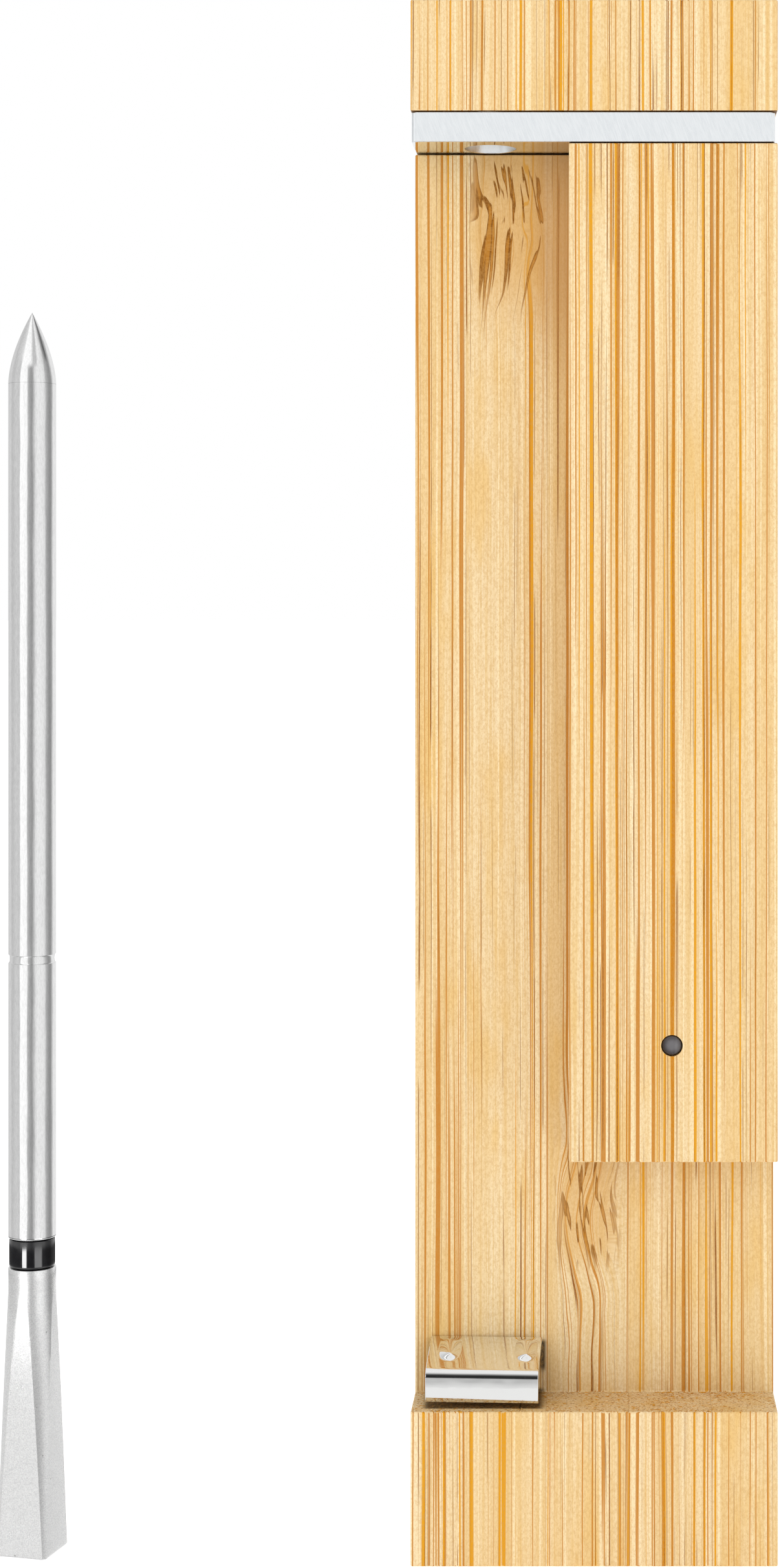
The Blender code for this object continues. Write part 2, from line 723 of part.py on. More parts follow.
def cell_and_contacts():
    """The AAA cell in its sleeve, with the coil spring under it and the contact plates at both ends."""
    nub = 1.2 * MM
    length = CELL_TOP - CELL_BOTTOM
    profile = [
        (0, length + nub),
        (1.7 * MM, length + nub),
        (1.9 * MM, length + nub - 0.2 * MM),
        (1.9 * MM, length),
        (CELL_RADIUS - 0.5 * MM, length),
        (CELL_RADIUS, length - 0.5 * MM),
        (CELL_RADIUS, 0.4 * MM),
        (CELL_RADIUS - 0.4 * MM, 0),
        (0, 0),
    ]
    turned("battery_cell", profile, "bright_metal", start=(0, CELL_Y, CELL_BOTTOM))
    inner, outer = CELL_RADIUS + 0.06 * MM, CELL_RADIUS + 0.25 * MM
    sleeve = [(outer, length - 0.6 * MM), (outer, 0.6 * MM), (inner, 0.6 * MM), (inner, length - 0.6 * MM)]
    turned("battery_sleeve", sleeve, "cell_sleeve", loop=True, start=(0, CELL_Y, CELL_BOTTOM))
    plate_low = PARTITION + TRAY_WALL + FIT_GAP
    plates = (("negative_plate", plate_low), ("positive_plate", CELL_TOP + 1.6 * MM))
    for name, z in plates:
        plate = box(name, (-4 * MM, 4 * MM), (CELL_Y - 4 * MM, CELL_Y + 4 * MM), (z, z + 0.4 * MM), "bright_metal")
        round_edges(plate, 0.1 * MM, segments=1)
    turns, per_turn, thickness = 4, 12, 0.3 * MM
    low, high = plate_low + 0.4 * MM + SEAM + thickness, CELL_BOTTOM - SEAM - thickness
    count = turns * per_turn
    coil = []
    for step in range(count + 1):
        share = step / count
        angle = 2 * math.pi * step / per_turn
        radius = (3.4 - 1.2 * share) * MM
        coil.append((radius * math.cos(angle), CELL_Y + radius * math.sin(angle), low + (high - low) * share))
    wire("battery_spring", coil, thickness, "bright_metal")


def leads():
    """The leads from the band and from the clip's terminal to the board."""
    pad_y = BOARD_BACK + LEAD_RADIUS + SEAM
    over_wall = 8.2 * MM
    band_route = [
        (LEAD_X, 4 * MM, BAND_BOTTOM - FIT_GAP),
        (LEAD_X, 4 * MM, 141 * MM),
        (LEAD_X, 4 * MM, 134 * MM),
        (LEAD_X, 4 * MM, 118 * MM),
        (LEAD_X, 4.6 * MM, 104 * MM),
        (LEAD_X, over_wall, 90 * MM),
        (LEAD_X, over_wall, 81 * MM),
        (LEAD_X, pad_y + 0.8 * MM, 72 * MM),
        (LEAD_X, pad_y, 69 * MM),
    ]
    wire("band_lead", smooth_path(band_route, 4), LEAD_RADIUS, "wire_red")
    clip_route = [
        (LEAD_X, -0.6 * MM + LEAD_RADIUS + SEAM, 19.5 * MM),
        (LEAD_X, 0.8 * MM, 21.5 * MM),
        (LEAD_X, 6 * MM, 25 * MM),
        (LEAD_X, 8 * MM, 28 * MM),
        (LEAD_X, 7.2 * MM, 31.5 * MM),
        (LEAD_X, pad_y + 0.6 * MM, 36.5 * MM),
        (LEAD_X, pad_y, 39 * MM),
    ]
    wire("clip_lead", smooth_path(clip_route, 4), LEAD_RADIUS, "chip_black")


def block_screws():
    for index, (x, z) in enumerate(TRAY_HOLES, 1):
        start = (x, TRAY_FLOOR + TRAY_WALL + SEAM, z)
        screw(f"tray_screw_{index}", start, 1, 1.6 * MM, 0.8 * MM, 3.2 * MM, 1 * MM)
    for index, (x, z) in enumerate(BOARD_HOLES, 1):
        screw(f"board_screw_{index}", (x, BOARD_BACK + SEAM, z), 1, 1.5 * MM, 0.6 * MM, 3.6 * MM, 0.9 * MM)
    screw(
        "terminal_screw", (CLIP_TAIL_X, -0.5 * MM, TERMINAL_SCREW_Z), 1, 1.4 * MM, 0.8 * MM, 5.7 * MM, 0.8 * MM
    )


# ---------------------------------------------------------------- back cover and check button


FRIDGE_MAGNET_HALF = (8 * MM, 11 * MM)
FRIDGE_MAGNET_Z = (68 * MM, 112 * MM)


def back_cover(parent):
    inner = SHELF + FIT_GAP
    cover = box("back_cover", (-COVER_SIDE, COVER_SIDE), (inner, BACK), (COVER_BOTTOM, COVER_TOP), "bamboo", parent)
    round_edges(cover, EDGE_ROUND)
    cut(cover, disc_pocket("button_window_cutter", 0, BUTTON_Z, BUTTON_RADIUS + FIT_GAP, (SHELF - MM, BACK + MM)))
    for index, (x, z) in enumerate(KEEPERS, 1):
        pocket = disc_pocket(f"magnet_pocket_{index}", x, z, KEEPER_RADIUS + FIT_GAP, (SHELF - MM, inner + 1.8 * MM))
        cut(cover, pocket)
    half_x, half_z = FRIDGE_MAGNET_HALF
    for index, z in enumerate(FRIDGE_MAGNET_Z, 1):
        pocket = box(
            f"fridge_pocket_{index}",
            (-half_x - FIT_GAP, half_x + FIT_GAP),
            (SHELF - MM, inner + 2.4 * MM),
            (z - half_z - FIT_GAP, z + half_z + FIT_GAP),
        )
        cut(cover, pocket)
    return cover


def magnets(parent):
    inner = SHELF + FIT_GAP + SEAM
    for index, (x, z) in enumerate(KEEPERS, 1):
        rod(f"cover_magnet_{index}", KEEPER_RADIUS, "Y", (x, inner, z), 1.5 * MM, "bright_metal", parent, 24)
        rod(f"keeper_disc_{index}", KEEPER_RADIUS, "Y", (x, SHELF - 1.6 * MM, z), 1.5 * MM, "bright_metal", None, 24)
    half_x, half_z = FRIDGE_MAGNET_HALF
    for index, z in enumerate(FRIDGE_MAGNET_Z, 1):
        plate = box(
            f"fridge_magnet_{index}",
            (-half_x, half_x),
            (inner, inner + 2 * MM),
            (z - half_z, z + half_z),
            "bright_metal",
            parent,
        )
        round_edges(plate, 0.3 * MM, segments=1)


def check_button(parent):
    """A dished cap in the cover's window, with a stem over the switch's plunger."""
    top, skirt_low, stem_low = 14.8 * MM, 9.5 * MM, BUTTON_STEM_LOW
    profile = [
        (0, top - 0.25 * MM),
        (1.6 * MM, top - 0.2 * MM),
        (BUTTON_RADIUS - 0.7 * MM, top),
        (BUTTON_RADIUS - 0.2 * MM, top),
        (BUTTON_RADIUS, top - 0.25 * MM),
        (BUTTON_RADIUS, skirt_low),
        (2 * MM, skirt_low),
        (2 * MM, stem_low),
        (0, stem_low),
    ]
    turned("check_button", profile, "black_plastic", parent, start=(0, 0, BUTTON_Z), axis="Y")
    plunger_low = SWITCH_TOP - 0.9 * MM
    plunger_length = BUTTON_STEM_LOW - SEAM - plunger_low
    rod("switch_plunger", 1.6 * MM, "Y", (0, plunger_low, BUTTON_Z), plunger_length, "bright_metal", parent, 24)


# ---------------------------------------------------------------- probe


def probe_tip(parent):
    """A pointed ogive, with a spigot that goes down into the tube."""
    nose = PROBE_LENGTH - SHAFT_TOP
    steps = 12
    profile = [(0, PROBE_LENGTH)]
    for step in range(1, steps + 1):
        share = step / steps
        profile.append((SHAFT_RADIUS * (1 - (1 - share) ** OGIVE_POWER), PROBE_LENGTH - nose * share))
    neck = 1.9 * MM
    profile += [(neck, SHAFT_TOP), (neck, SHAFT_TOP - 3.6 * MM), (neck - 0.3 * MM, SHAFT_TOP - 4 * MM)]
    profile.append((0, SHAFT_TOP - 4 * MM))
    return turned("probe_tip", profile, "probe_steel", parent, steps=40)


def probe_shaft(parent):
    top, half = SHAFT_TOP - TIP_SEAM, 0.45 * MM
    groove = []
    for step in range(7):
        angle = math.pi * step / 6
        groove.append((SHAFT_RADIUS - GROOVE_DEPTH * math.sin(angle), GROOVE_MIDDLE + half * math.cos(angle)))
    profile = [
        (SHAFT_RADIUS, top),
        *groove,
        (SHAFT_RADIUS, SHAFT_BOTTOM + 0.15 * MM),
        (SHAFT_RADIUS - 0.15 * MM, SHAFT_BOTTOM),
        (SHAFT_BORE, SHAFT_BOTTOM),
        (SHAFT_BORE, top),
    ]
    return turned("probe_shaft", profile, "probe_steel", parent, steps=40, loop=True)


def ceramic_ring(parent):
    """The black insulator, with a spigot into the tube and one into the handle."""
    low, high = HANDLE_TOP + SEAM, SHAFT_BOTTOM - SEAM
    bore, neck, soft = 0.8 * MM, 1.85 * MM, 0.12 * MM
    profile = [
        (bore, high + 4 * MM),
        (neck, high + 4 * MM),
        (neck, high),
        (RING_RADIUS - soft, high),
        (RING_RADIUS, high - soft),
        (RING_RADIUS, low + soft),
        (RING_RADIUS - soft, low),
        (neck, low),
        (neck, low - 3.6 * MM),
        (bore, low - 3.6 * MM),
    ]
    return turned("ceramic_ring", profile, "black_ceramic", parent, steps=40, loop=True)


def probe_handle(parent):
    """A short neck over a cone that widens to the base, cut by four flats that widen less."""
    profile = [
        (0, HANDLE_TOP),
        (SHAFT_RADIUS, HANDLE_TOP),
        (SHAFT_RADIUS, HANDLE_FLARE_TOP),
        (HANDLE_BASE_RADIUS, 0),
        (0, 0),
    ]
    handle = turned("probe_handle", profile, "probe_steel", parent, steps=48)
    spread = (HANDLE_FLAT_BASE - HANDLE_FLAT_TOP) / HANDLE_FLARE_TOP
    below, above = -1 * MM, HANDLE_TOP + 1 * MM
    diagonal = math.sqrt(2)
    flats = rod(
        "handle_flats",
        (HANDLE_FLAT_BASE - spread * below) * diagonal,
        "Z",
        (0, 0, below),
        above - below,
        None,
        parent,
        4,
        (HANDLE_FLAT_BASE - spread * above) * diagonal,
    )
    flats.rotation_euler = (0, 0, math.pi / 4)
    boolean(handle, "INTERSECT", flats)
    round_edges(handle, 0.3 * MM, segments=2, angle=65)
    bore = rod("handle_bore", 2.15 * MM, "Z", (0, 0, HANDLE_TOP - 4 * MM), 6 * MM, None, parent, 24)
    well = rod("handle_well", 1.3 * MM, "Z", (0, 0, 14 * MM), 14 * MM, None, parent, 24)
    return cut(handle, bore, well)


def probe_internals(parent):
    """What the probe holds: its cell, the sensor strip with five sensors, the aerial and the ambient sensor."""
    cell_low, cell_length = 42 * MM, 14 * MM
    rod("probe_cell", 1.75 * MM, "Z", (0, 0, cell_low), cell_length, "bright_metal", parent, 24)
    strip_low, strip_high = 57 * MM, 118 * MM
    half_width, half_thick = 1.5 * MM, 0.2 * MM
    box(
        "sensor_strip",
        (-half_width, half_width),
        (-half_thick, half_thick),
        (strip_low, strip_high),
        "circuit_green",
        parent,
    )
    count = 5
    for index in range(count):
        z = 61 * MM + index * 13.5 * MM
        sensor = box(
            f"meat_sensor_{index + 1}",
            (-0.6 * MM, 0.6 * MM),
            (-half_thick - SEAM - 0.7 * MM, -half_thick - SEAM),
            (z, z + 1.6 * MM),
            "chip_black",
            parent,
        )
        round_edges(sensor, 0.12 * MM, segments=1)
    rod("aerial_rod", 0.45 * MM, "Z", (0, 0, 20 * MM), 21 * MM, "brass", parent, 16)
    rod("ambient_sensor", 0.9 * MM, "Z", (0, 0, 15.5 * MM), 3.5 * MM, "chip_black", parent, 20)


# ---------------------------------------------------------------- assembly


def build():
    clip_hinge = carrier("clip_hinge", CLIP_PIVOT, CLIP_TURN)
    cover_slide = carrier("cover_slide", (0, BACK, (COVER_BOTTOM + COVER_TOP) / 2))
    button_slide = carrier("button_slide", (0, BACK, BUTTON_Z))
    # The probe's pieces are placed in its own frame: axis on Z, base at zero.
    probe_lift = carrier("probe_lift", (PROBE_X, PROBE_Y, 0), PROBE_TURN, holds_row_frame=False)

    bamboo_body()
    top_cap()
    contact_band()
    tip_contact_cup()
    cap_dowels()
    light_pipe()
    contact_clip(clip_hinge)
    clip_terminal()
    electronics_tray()
    circuit_board()
    board_components()
    cell_and_contacts()
    leads()
    block_screws()
    back_cover(cover_slide)
    magnets(cover_slide)
    check_button(button_slide)
    probe_tip(probe_lift)
    probe_shaft(probe_lift)
    ceramic_ring(probe_lift)
    probe_handle(probe_lift)
    probe_internals(probe_lift)


build()
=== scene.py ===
import math

import bmesh
import bpy
from mathutils import Matrix, Vector


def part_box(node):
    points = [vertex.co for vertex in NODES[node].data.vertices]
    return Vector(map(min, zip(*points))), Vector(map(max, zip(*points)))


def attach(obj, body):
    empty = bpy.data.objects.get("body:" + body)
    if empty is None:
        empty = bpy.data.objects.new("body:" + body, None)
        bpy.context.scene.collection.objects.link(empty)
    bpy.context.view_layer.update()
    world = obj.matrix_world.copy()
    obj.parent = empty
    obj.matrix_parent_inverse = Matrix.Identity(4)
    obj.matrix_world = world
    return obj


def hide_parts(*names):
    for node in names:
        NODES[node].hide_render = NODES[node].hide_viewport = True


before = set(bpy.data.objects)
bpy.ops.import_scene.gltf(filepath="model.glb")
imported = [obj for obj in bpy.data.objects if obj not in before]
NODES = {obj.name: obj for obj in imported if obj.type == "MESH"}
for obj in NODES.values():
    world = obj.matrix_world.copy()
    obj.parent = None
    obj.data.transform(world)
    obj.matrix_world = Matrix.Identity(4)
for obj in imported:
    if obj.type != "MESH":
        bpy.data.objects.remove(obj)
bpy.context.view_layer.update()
MM = 0.001

# ---------------------------------------------------------------- shading helpers


def srgb(red, green, blue):
    """A linear colour from display values of 0 to 255."""
    shares = (value / 255 for value in (red, green, blue))
    return (*(s / 12.92 if s <= 0.04045 else ((s + 0.055) / 1.055) ** 2.4 for s in shares), 1)


class Shader:
    """One procedural material and short calls for its nodes. Its textures work in millimetres."""

    def __init__(self, name, **sockets):
        self.material = bpy.data.materials.new(name)
        self.material.use_nodes = True
        self.tree = self.material.node_tree
        self.surface = self.tree.nodes["Principled BSDF"]
        for socket, value in sockets.items():
            self.surface.inputs[socket.replace("_", " ")].default_value = value

    def node(self, kind, *inputs, **settings):
        made = self.tree.nodes.new("ShaderNode" + kind)
        for key, value in settings.items():
            setattr(made, key, value)
        for index, value in enumerate(inputs):
            self.feed(made.inputs[index], value)
        return made

    def feed(self, socket, value):
        if isinstance(value, bpy.types.NodeSocket):
            self.tree.links.new(value, socket)
        elif value is not None:
            socket.default_value = value

    def math(self, operation, a, b=0.0, clamp=False):
        return self.node("Math", a, b, operation=operation, use_clamp=clamp).outputs[0]

    def times(self, first, *others):
        for other in others:
            first = self.math("MULTIPLY", first, other)
        return first

    def plus(self, first, *others):
        for other in others:
            first = self.math("ADD", first, other)
        return first

    def minus(self, a, b):
        return self.math("SUBTRACT", a, b)

    def vector(self, operation, a, b):
        return self.node("VectorMath", a, b, operation=operation).outputs[0]

    def point(self, shift=(0, 0, 0)):
        """The surface's place in millimetres, moved by shift so that two pieces differ."""
        place = self.node("TexCoord").outputs["Object"]
        return self.vector("ADD", self.vector("MULTIPLY", place, (1000, 1000, 1000)), shift)

    def split(self, vector):
        return self.node("SeparateXYZ", vector).outputs

    def joined(self, x, y, z):
        return self.node("CombineXYZ", x, y, z).outputs[0]

    def noise(self, vector, scale, detail=2.0, roughness=0.5, distortion=0.0):
        """scale is one number, or how often the pattern repeats along x, y and z, per millimetre."""
        if not isinstance(scale, (int, float)):
            vector = self.vector("MULTIPLY", vector, scale)
            scale = 1
        made = self.node("TexNoise", vector, None, scale, detail, roughness)
        made.inputs["Distortion"].default_value = distortion
        return made.outputs[0]

    def sway(self, vector, scale, detail=2.0, roughness=0.5, distortion=0.0):
        """Noise about zero."""
        return self.minus(self.noise(vector, scale, detail, roughness, distortion), 0.5)

    def ease(self, value, low, high, start=0.0, end=1.0):
        """Goes softly from start to end as the value goes from low to high."""
        made = self.node("MapRange", value, low, high, start, end, interpolation_type="SMOOTHSTEP")
        return made.outputs[0]

    def window(self, value, opening, closing):
        """1 between two soft edges, each given by the values where it starts and where it is complete."""
        return self.times(self.ease(value, *opening), self.ease(value, *closing))

    def mix(self, share, a, b):
        """A colour that goes from a to b as share goes from 0 to 1."""
        made = self.node("Mix", share, data_type="RGBA")
        self.feed(made.inputs[6], a)
        self.feed(made.inputs[7], b)
        return made.outputs[2]

    def between(self, share, a, b):
        """A number that goes from a to b as share goes from 0 to 1."""
        return self.plus(a, self.times(share, self.minus(b, a)))

    def set(self, socket, value):
        self.feed(self.surface.inputs[socket], value)

    def bump(self, height, distance, strength=1.0, under=None):
        made = self.node("Bump")
        made.inputs["Strength"].default_value = strength
        made.inputs["Distance"].default_value = distance * MM
        self.feed(made.inputs["Height"], height)
        self.feed(made.inputs["Normal"], under)
        self.set("Normal", made.outputs[0])
        return made.outputs[0]


# ---------------------------------------------------------------- bamboo

STRIP_WIDTH, STRIP_START = 8.6, -5.0
LAYER_DEPTH, LAYER_START = 10.9, -40.4
WOOD_LIGHT = 0.8
SEAM_HEIGHT = {
    "bamboo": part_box("bamboo_body")[1].z / MM,
    "bamboo_cap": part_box("top_cap")[0].z / MM,
    "bamboo_cover": 0.0,
}
# Places in the recess, in millimetres. Each pair says where a soft edge starts and where it is complete.
WALL_Y = (-12, -10), (-4, -6)
UPPER_NODE_X = (-13.6, -12.0), (-5.0, -5.4)
UPPER_NODE_Z = 126, 137
LOWER_NODE_X = (-5.0, -2.4), (3.6, 0.8)
LOWER_BULGE_Z = (25, 34.5), (43, 34.5)
LOWER_RIPPLE_Z = (12, 30), (60, 40)
LOWER_MARKS_Z = (28, 32), (44, 40)
FINGER_FOOT_Z, FINGER_TOP_Z = (138.9, 140.5), (147, 145.5)
STREAK_FOOT_Z, STREAK_TOP_Z = (127, 139), (141, 137.5)
BELOW_UPPER_NODE_Z = 100, 90
# Where shade is painted: the recess's upper corner, and shadow under and beside the clip
SHADE_CORNER_X, SHADE_CORNER_Z = ((-7.5, -4.5), (-2.4, -2.7)), (118, 136)
UNDER_CLIP = (
    ((-18.2, -17.2), (-4.9, -5.9)),
    ((-14.0, -13.6), (-5.0, -7.0)),
    ((15.4, 15.8), (16.6, 16.1)),
)
BESIDE_CLIP_X, BESIDE_CLIP_Z = ((-5.9, -5.6), (-5.0, -5.35)), ((17.8, 18.8), (21.8, 21.2))


def wood(red, green, blue):
    """The wood's own colour, from how it looks in the studio's light."""
    return (*(channel * WOOD_LIGHT for channel in srgb(red, green, blue)[:3]), 1)


TONES = {
    "pale strip": wood(248, 226, 184),
    "warm strip": wood(243, 215, 164),
    "grey strip": wood(232, 212, 172),
    "wide zone": wood(237, 198, 132),
    "cloud": wood(237, 188, 92),
    "fine fibre": wood(229, 189, 118),
    "pale bundle": wood(255, 234, 190),
    "amber bundle": wood(229, 160, 24),
    "brown line": wood(200, 126, 20),
    "dark vein": wood(142, 80, 16),
    "node": wood(222, 170, 92),
    "finger": wood(184, 118, 20),
    "finger rim": wood(120, 68, 4),
    # Painted shade for the recess's corner, and painted shadow under and beside the clip
    "corner": wood(196, 138, 70),
    "shadow": wood(34, 20, 8),
    "sanded": wood(206, 156, 84),
    "end dot": wood(160, 106, 52),
    # A thin darker line along the wood's edges beside the metal plate
    "dark seam line": wood(96, 52, 16),
    "glue line": wood(168, 112, 52),
}


def bundles(s, grain, shift, scale, low, high, crowd, detail=1):
    """Where the fibre bundles of one width show."""
    field = s.noise(s.vector("ADD", grain, shift), scale, detail, 0.55)
    return s.ease(s.plus(field, crowd), low, high)


def stem_nodes(s, place):
    """Masks of the recess's wall, and of the stem's upper and lower node on it."""
    x, y, z = s.split(place)
    wall = s.window(y, *WALL_Y)
    upper = s.times(s.ease(z, *UPPER_NODE_Z), wall, s.window(x, *UPPER_NODE_X))
    lower = s.times(s.window(x, *LOWER_NODE_X), wall)
    return wall, upper, lower


def node_bends(s, place, upper, lower):
    """How far, in millimetres, the fibres turn aside round the stem's nodes."""
    z = s.split(place)[2]
    eddy = s.sway(place, (0.5, 0.1, 0.14), 1, 0.5, 0.3)
    ripple = s.times(s.sway(place, (0.4, 0.1, 0.11), 1), s.window(z, *LOWER_RIPPLE_Z))
    bulge = s.window(z, *LOWER_BULGE_Z)
    return s.times(eddy, 2.2, upper), s.times(bulge, lower, 1.5), s.times(ripple, 2.2, lower)


def node_marks(s, colour, place, upper, lower):
    """At the nodes the bundles break up into short dark fingers, with longer streaks below the upper one."""
    x, y, z = s.split(place)
    leaning = s.joined(s.plus(x, s.times(s.sway(place, (0.2, 0.1, 0.09), 1), 4.5)), y, z)
    finger = s.noise(leaning, (2.4, 0.3, 0.24), 1, 0.4)
    reach = s.math("MAXIMUM", s.ease(z, *FINGER_FOOT_Z, 0.7, 1), s.ease(z, *BELOW_UPPER_NODE_Z))
    finger = s.times(finger, reach, s.ease(z, *FINGER_TOP_Z, 0.8, 1))
    ragged = s.plus(z, s.times(s.sway(place, (1.2, 0.1, 0.01), 1), 9.0))
    streak = s.noise(leaning, (2.8, 0.3, 0.04), 1, 0.4)
    streak = s.times(streak, s.ease(z, *STREAK_FOOT_Z, 0.84, 1), s.ease(ragged, *STREAK_TOP_Z, 0.7, 1))
    mark = s.math("MAXIMUM", finger, streak)
    rim = s.window(mark, (0.57, 0.6), (0.69, 0.63))
    area = s.math("MAXIMUM", upper, s.times(lower, s.window(z, *LOWER_MARKS_Z), 0.8))
    colour = s.mix(s.times(area, 0.6), colour, TONES["node"])
    colour = s.mix(s.times(s.ease(mark, 0.57, 0.61), area, 0.95), colour, TONES["finger"])
    return s.mix(s.times(rim, area, 0.8), colour, TONES["finger rim"])


def recess_shadows(s, colour, place, wall):
    """Painted shade in the recess's dim upper corner, and painted shadow under and beside the clip."""
    x, y, z = s.split(place)
    (rise, fall), height = SHADE_CORNER_X, SHADE_CORNER_Z
    corner = s.times(s.ease(x, *rise), s.ease(z, *height), wall, s.ease(x, *fall))
    # Painted shade: the corner tone darkens the recess's upper corner
    colour = s.mix(s.times(corner, 0.55), colour, TONES["corner"])
    under = s.times(*(s.window(along, *edges) for along, edges in zip((x, y, z), UNDER_CLIP)))
    colour = s.mix(s.times(under, 0.95), colour, TONES["shadow"])
    beside = s.times(s.window(x, *BESIDE_CLIP_X), s.window(z, *BESIDE_CLIP_Z), wall)
    return s.mix(s.times(beside, 0.9), colour, TONES["shadow"])


def bamboo(name, shift, knots=False):
    """Laminated bamboo, its fibres along Z: pale strips, amber bundles, thin brown lines and end grain."""
    s = Shader(name, Roughness=0.52, Specular_IOR_Level=0.12)
    place = s.point()
    x, y, z = s.split(place)
    across = s.math("DIVIDE", s.minus(x, STRIP_START), STRIP_WIDTH)
    strip = s.math("FLOOR", across)
    layer = s.math("FLOOR", s.math("DIVIDE", s.minus(y, LAYER_START), LAYER_DEPTH))
    chance = s.node("TexWhiteNoise", s.joined(strip, layer, shift[0]))
    tone, tint = chance.outputs["Value"], s.split(chance.outputs["Color"])[1]

    # The fibres wander a little, and turn round a node of the stem.
    bent = s.plus(x, s.times(s.sway(place, (0.35, 0.35, 0.02), 2), 0.5))
    if knots:
        wall, upper, lower = stem_nodes(s, place)
        bent = s.plus(bent, *node_bends(s, place, upper, lower))
    strip_shift = s.times(tone, 37.0)
    grain = s.joined(s.plus(bent, strip_shift), s.plus(y, strip_shift), z)
    grain = s.vector("ADD", grain, shift)

    colour = s.mix(tone, TONES["pale strip"], TONES["warm strip"])
    colour = s.mix(s.ease(tint, 0.55, 1.0, 0, 0.45), colour, TONES["grey strip"])
    zones = s.noise(grain, (0.42, 0.42, 0.004), 2, 0.6)
    colour = s.mix(s.ease(zones, 0.42, 0.66, 0, 0.55), colour, TONES["wide zone"])
    clouds = s.noise(grain, (0.25, 0.25, 0.05), 3, 0.6)
    colour = s.mix(s.ease(clouds, 0.52, 0.72, 0, 0.5), colour, TONES["cloud"])
    fine = s.noise(grain, (5.5, 5.5, 0.03), 3, 0.7)
    colour = s.mix(s.ease(fine, 0.4, 0.66, 0, 0.6), colour, TONES["fine fibre"])
    crowd = s.times(s.sway(grain, (0.2, 0.2, 0.003), 1), 0.2)
    pale = bundles(s, grain, (9, 2, 0), (2.3, 2.3, 0.004), 0.6, 0.65, crowd)
    colour = s.mix(s.times(pale, 0.75), colour, TONES["pale bundle"])
    amber = bundles(s, grain, (13, 7, 0), (1.9, 1.9, 0.004), 0.615, 0.64, crowd, 2)
    colour = s.mix(amber, colour, TONES["amber bundle"])
    line = bundles(s, grain, (5, 31, 0), (3.6, 3.6, 0.006), 0.615, 0.65, crowd)
    colour = s.mix(s.times(line, 0.92), colour, TONES["brown line"])
    broken = s.ease(s.noise(grain, (1.1, 1.1, 0.06), 1), 0.4, 0.5)
    vein = s.times(bundles(s, grain, (71, 3, 0), (6.5, 6.5, 0.01), 0.655, 0.69, crowd), broken)
    colour = s.mix(s.times(vein, 0.92), colour, TONES["dark vein"])
    if knots:
        colour = node_marks(s, colour, place, upper, lower)
        # Painted shade and painted shadow in the recess
        colour = recess_shadows(s, colour, place, wall)
    sand = s.noise(grain, (5, 5, 2.6), 3, 0.8)
    colour = s.mix(s.ease(sand, 0.38, 0.68, 0, 0.42), colour, TONES["sanded"])

    # Across the fibres, the bundles show as dark dots.
    end_on = s.math("ABSOLUTE", s.split(s.node("NewGeometry").outputs["Normal"])[2])
    dots = s.node("TexVoronoi", s.vector("MULTIPLY", grain, (2.3, 1.6, 0.1)), None, 1, feature="F1")
    dot = s.times(s.ease(dots.outputs["Distance"], 0.34, 0.18), s.ease(end_on, 0.6, 0.9))
    colour = s.mix(s.times(dot, 0.5), colour, TONES["end dot"])
    # The wood darkens in a thin line along its edges beside the metal plate.
    seam = s.ease(s.math("ABSOLUTE", s.minus(z, SEAM_HEIGHT[name])), 0.09, 0.03)
    seam = s.times(seam, s.ease(s.math("ABSOLUTE", y), 12, 13.5))
    colour = s.mix(s.times(seam, 0.85), colour, TONES["dark seam line"])
    joint = s.window(s.math("FRACT", across), (0.0, 0.008), (1.0, 0.992))
    colour = s.mix(s.times(s.minus(1.0, joint), 0.35), colour, TONES["glue line"])
    s.set("Base Color", colour)
    s.set("Roughness", s.ease(fine, 0.3, 0.7, 0.46, 0.62))
    relief = s.plus(s.times(fine, 0.6), s.times(line, -0.5), s.times(vein, -0.8))
    s.bump(s.plus(relief, s.times(dot, -0.8), s.times(sand, 0.35)), 0.03, 0.6)
    return s.material


# ---------------------------------------------------------------- metals


def probe_steel():
    """Ground stainless tube, with faint lengthwise marks and a slight waviness that bends its reflections."""
    s = Shader("probe_steel", Metallic=1.0)
    place = s.point()
    marks = s.noise(place, (6, 6, 0.12), 3, 0.6)
    s.set("Roughness", s.ease(marks, 0.3, 0.75, 0.05, 0.13))
    waves = s.noise(place, (0.55, 0.55, 0.09), 2, 0.6)
    worn = s.noise(place, (9, 9, 1.6), 3, 0.75)
    s.set("Base Color", s.mix(s.ease(worn, 0.35, 0.7), (0.82, 0.82, 0.82, 1), (0.7, 0.7, 0.7, 1)))
    under = s.bump(waves, 0.045)
    s.bump(marks, 0.0016, 1.0, under)
    return s.material


def handle_metal():
    """Bead-blasted steel with a few small pits."""
    s = Shader("handle_metal", Metallic=1.0)
    place = s.point()
    beads = s.noise(place, 7, 3, 0.85)
    pits = s.node("TexVoronoi", s.vector("MULTIPLY", place, (0.5, 0.5, 0.5)), None, 1, feature="F1")
    pit = s.ease(pits.outputs["Distance"], 0.06, 0.03)
    cloud = s.noise(place, 0.35, 3, 0.55)
    s.set("Roughness", s.ease(cloud, 0.3, 0.7, 0.27, 0.33))
    colour = s.mix(s.ease(beads, 0.34, 0.68), (0.96, 0.96, 0.95, 1), (0.72, 0.72, 0.72, 1))
    s.set("Base Color", s.mix(s.times(pit, 0.5), colour, (0.24, 0.23, 0.22, 1)))
    s.bump(s.minus(s.times(beads, -1.0), s.times(pit, 1.4)), 0.02, 0.8)
    return s.material


